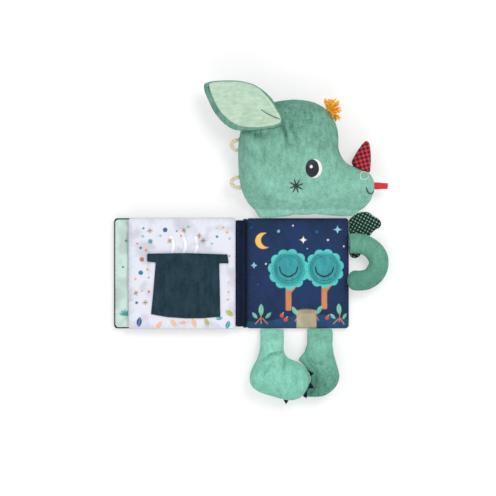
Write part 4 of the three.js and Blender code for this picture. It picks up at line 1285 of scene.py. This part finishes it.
# Yarn tuft: bent strands that leave one knot in all upward directions
tuft = {"knot": (38.5, 203.5, 25.0), "strands": 64, "length": (10.0, 17.5), "radius": 1.0, "bend": 3.4, "kink": 0.5,
        "steps": 10, "seed": 5, "heart": [(35.5, 202.5, 24), (38.5, 204, 25), (42, 205.2, 24.5)], "heartRadius": 4.2}
rng = random.Random(tuft["seed"])
strands = []
for k in range(tuft["strands"]):
    turn, rise = rng.uniform(-1.3, 2.15), rng.uniform(-0.7, 1.15)
    length = rng.uniform(*tuft["length"])
    go = np.array([math.cos(turn) * math.cos(rise), math.sin(turn) * math.cos(rise), math.sin(rise)])
    bend = np.array([rng.uniform(-1, 1), rng.uniform(-1, 1), rng.uniform(-1, 0.6)]) * tuft["bend"]
    strand = []
    for t in np.linspace(0, 1, tuft["steps"]):
        kink = np.array([math.sin(9 * t + k), math.cos(8 * t + k), math.sin(7 * t)]) * tuft["kink"]
        strand.append(np.array(tuft["knot"]) + go * length * t + bend * t * t * (1.2 - t) + kink * t)
    strands.append(tubeMesh(strand, tuft["radius"] * rng.uniform(0.8, 1.1), 6, np.linspace(0.9, 1.05, tuft["steps"])))
strands.append(tubeMesh(tuft["heart"], tuft["heartRadius"], 10, (0.6, 1, 0.55)))
yarnTuft = newPiece("yarn_tuft_strands", *joined(strands), orangeYarn)
place(yarnTuft, "head", ["yarn_tuft"])

# Mane loops: two plies of cord twisted round each other
mane = {"x": -74.6, "reach": 8.4, "half": 6.6, "z": 24.0, "arc": 1.3, "steps": 72, "ply": 1.35, "apart": 1.15,
        "twist": 0.42, "loops": [("upper_mane", 160.1), ("lower_mane", 113.5)]}
for name, middleY in mane["loops"]:
    plies = []
    for ply in range(2):
        line = []
        for k in range(mane["steps"] + 1):
            a = math.pi * (k / mane["steps"] * mane["arc"] - (mane["arc"] - 1) / 2)
            base = np.array([mane["x"] - mane["reach"] * math.sin(a), middleY + mane["half"] * math.cos(a), mane["z"]])
            spin = ply * math.pi + k * mane["twist"]
            outward = np.array([-math.sin(a), math.cos(a), 0]) * math.cos(spin)
            line.append(base + mane["apart"] * (outward + np.array([0, 0, math.sin(spin)])))
        plies.append(tubeMesh(line, mane["ply"], 8))
    cord = newPiece(f"{name}_cord", *joined(plies), creamCord)
    place(cord, "head", [f"{name}_loop"])

# Felt toe tabs in the seam of the left foot, a little thicker than their solids
toeTab = {"grow": (1.35, 1.35, 1.2), "roundMm": 0.25}
for k in (1, 2, 3, 4):
    tab = cadCopy(f"felt_toe_tab_{k}", f"toe_tab_{k}", navyCotton)
    coords = points(tab)
    middle = coords.mean(axis=0)
    setPoints(tab, middle + (coords - middle) * np.array(toeTab["grow"]))
    applyModifier(tab, "BEVEL", width=toeTab["roundMm"] * mm, segments=2)
    place(tab, "left_leg", [f"toe_tab_{k}"])
print("trim ready")

# Topstitching on the pocket, the flaps and the hinge strip
pocketSeam = pixels((156.8, 264), (154.7, 288), (152.1, 313.3), (168, 316.1), (186, 317.3), (204, 317.1),
                    (219.3, 315.6), (218.8, 290), (218.2, 264))
stitches("pocket_stitches", pocketSeam, tealThread, "leaf", surfaceOf(pocket), 2.4, 1.0)
flapSewing = {"centreY": 6.2, "halfX": 15.6, "halfY": 15.4, "open": 0.35,  # the ring stops at the flap's sewn top
              "arc": [(-11.5, 8.5), (-9.0, 0.5), (-0.5, -4.0), (8.5, 0.5), (11.5, 8.5)]}
turns = np.linspace(0.45 * math.pi + flapSewing["open"], 2.55 * math.pi - flapSewing["open"], 90)
for side, cx, flap in (("left", -11.5, flapLeft), ("right", 33.5, flapRight)):
    flapSurface = surfaceOf(flap)
    ring = [(cx + flapSewing["halfX"] * math.cos(a), flapSewing["centreY"] + flapSewing["halfY"] * math.sin(a))
            for a in turns]
    stitches(f"{side}_flap_stitches", ring, tealThread, f"{side}_flap", flapSurface, 2.0, 1.0)
    arc = curve([(cx + x, y) for x, y in flapSewing["arc"]], 50)
    threadLine(f"{side}_flap_stitches_arc", arc, navyThread, f"{side}_flap", flapSurface, 0.85, 0.25)
stripSurface = surfaceOf(strip)
for k, seamX in enumerate((-68.6, -75.2)):
    seam = [(seamX, -66), (seamX, 66)]
    stitches(f"hinge_strip_stitches_{k + 1}", seam, navyThread, "hinge_strip", stripSurface, 2.6, 1.2)
print("stitching ready")

# The head, the legs and the arm have their transforms baked into their meshes
for piece, body, start, end in (
    (head, "head", (0, 0.0665, 0.009), (0, 0.084, 0.012)),
    (leftLeg, "left_leg", (-0.0325, -0.0675, 0.008), (-0.0325, -0.085, 0.01)),
    (rightLeg, "right_leg", (0.0275, -0.0675, 0.008), (0.0275, -0.085, 0.01)),
    (arm, "arm", (0.0575, 0.0379, 0.0125), (0.074, 0.0379, 0.0135)),
):
    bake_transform(piece)
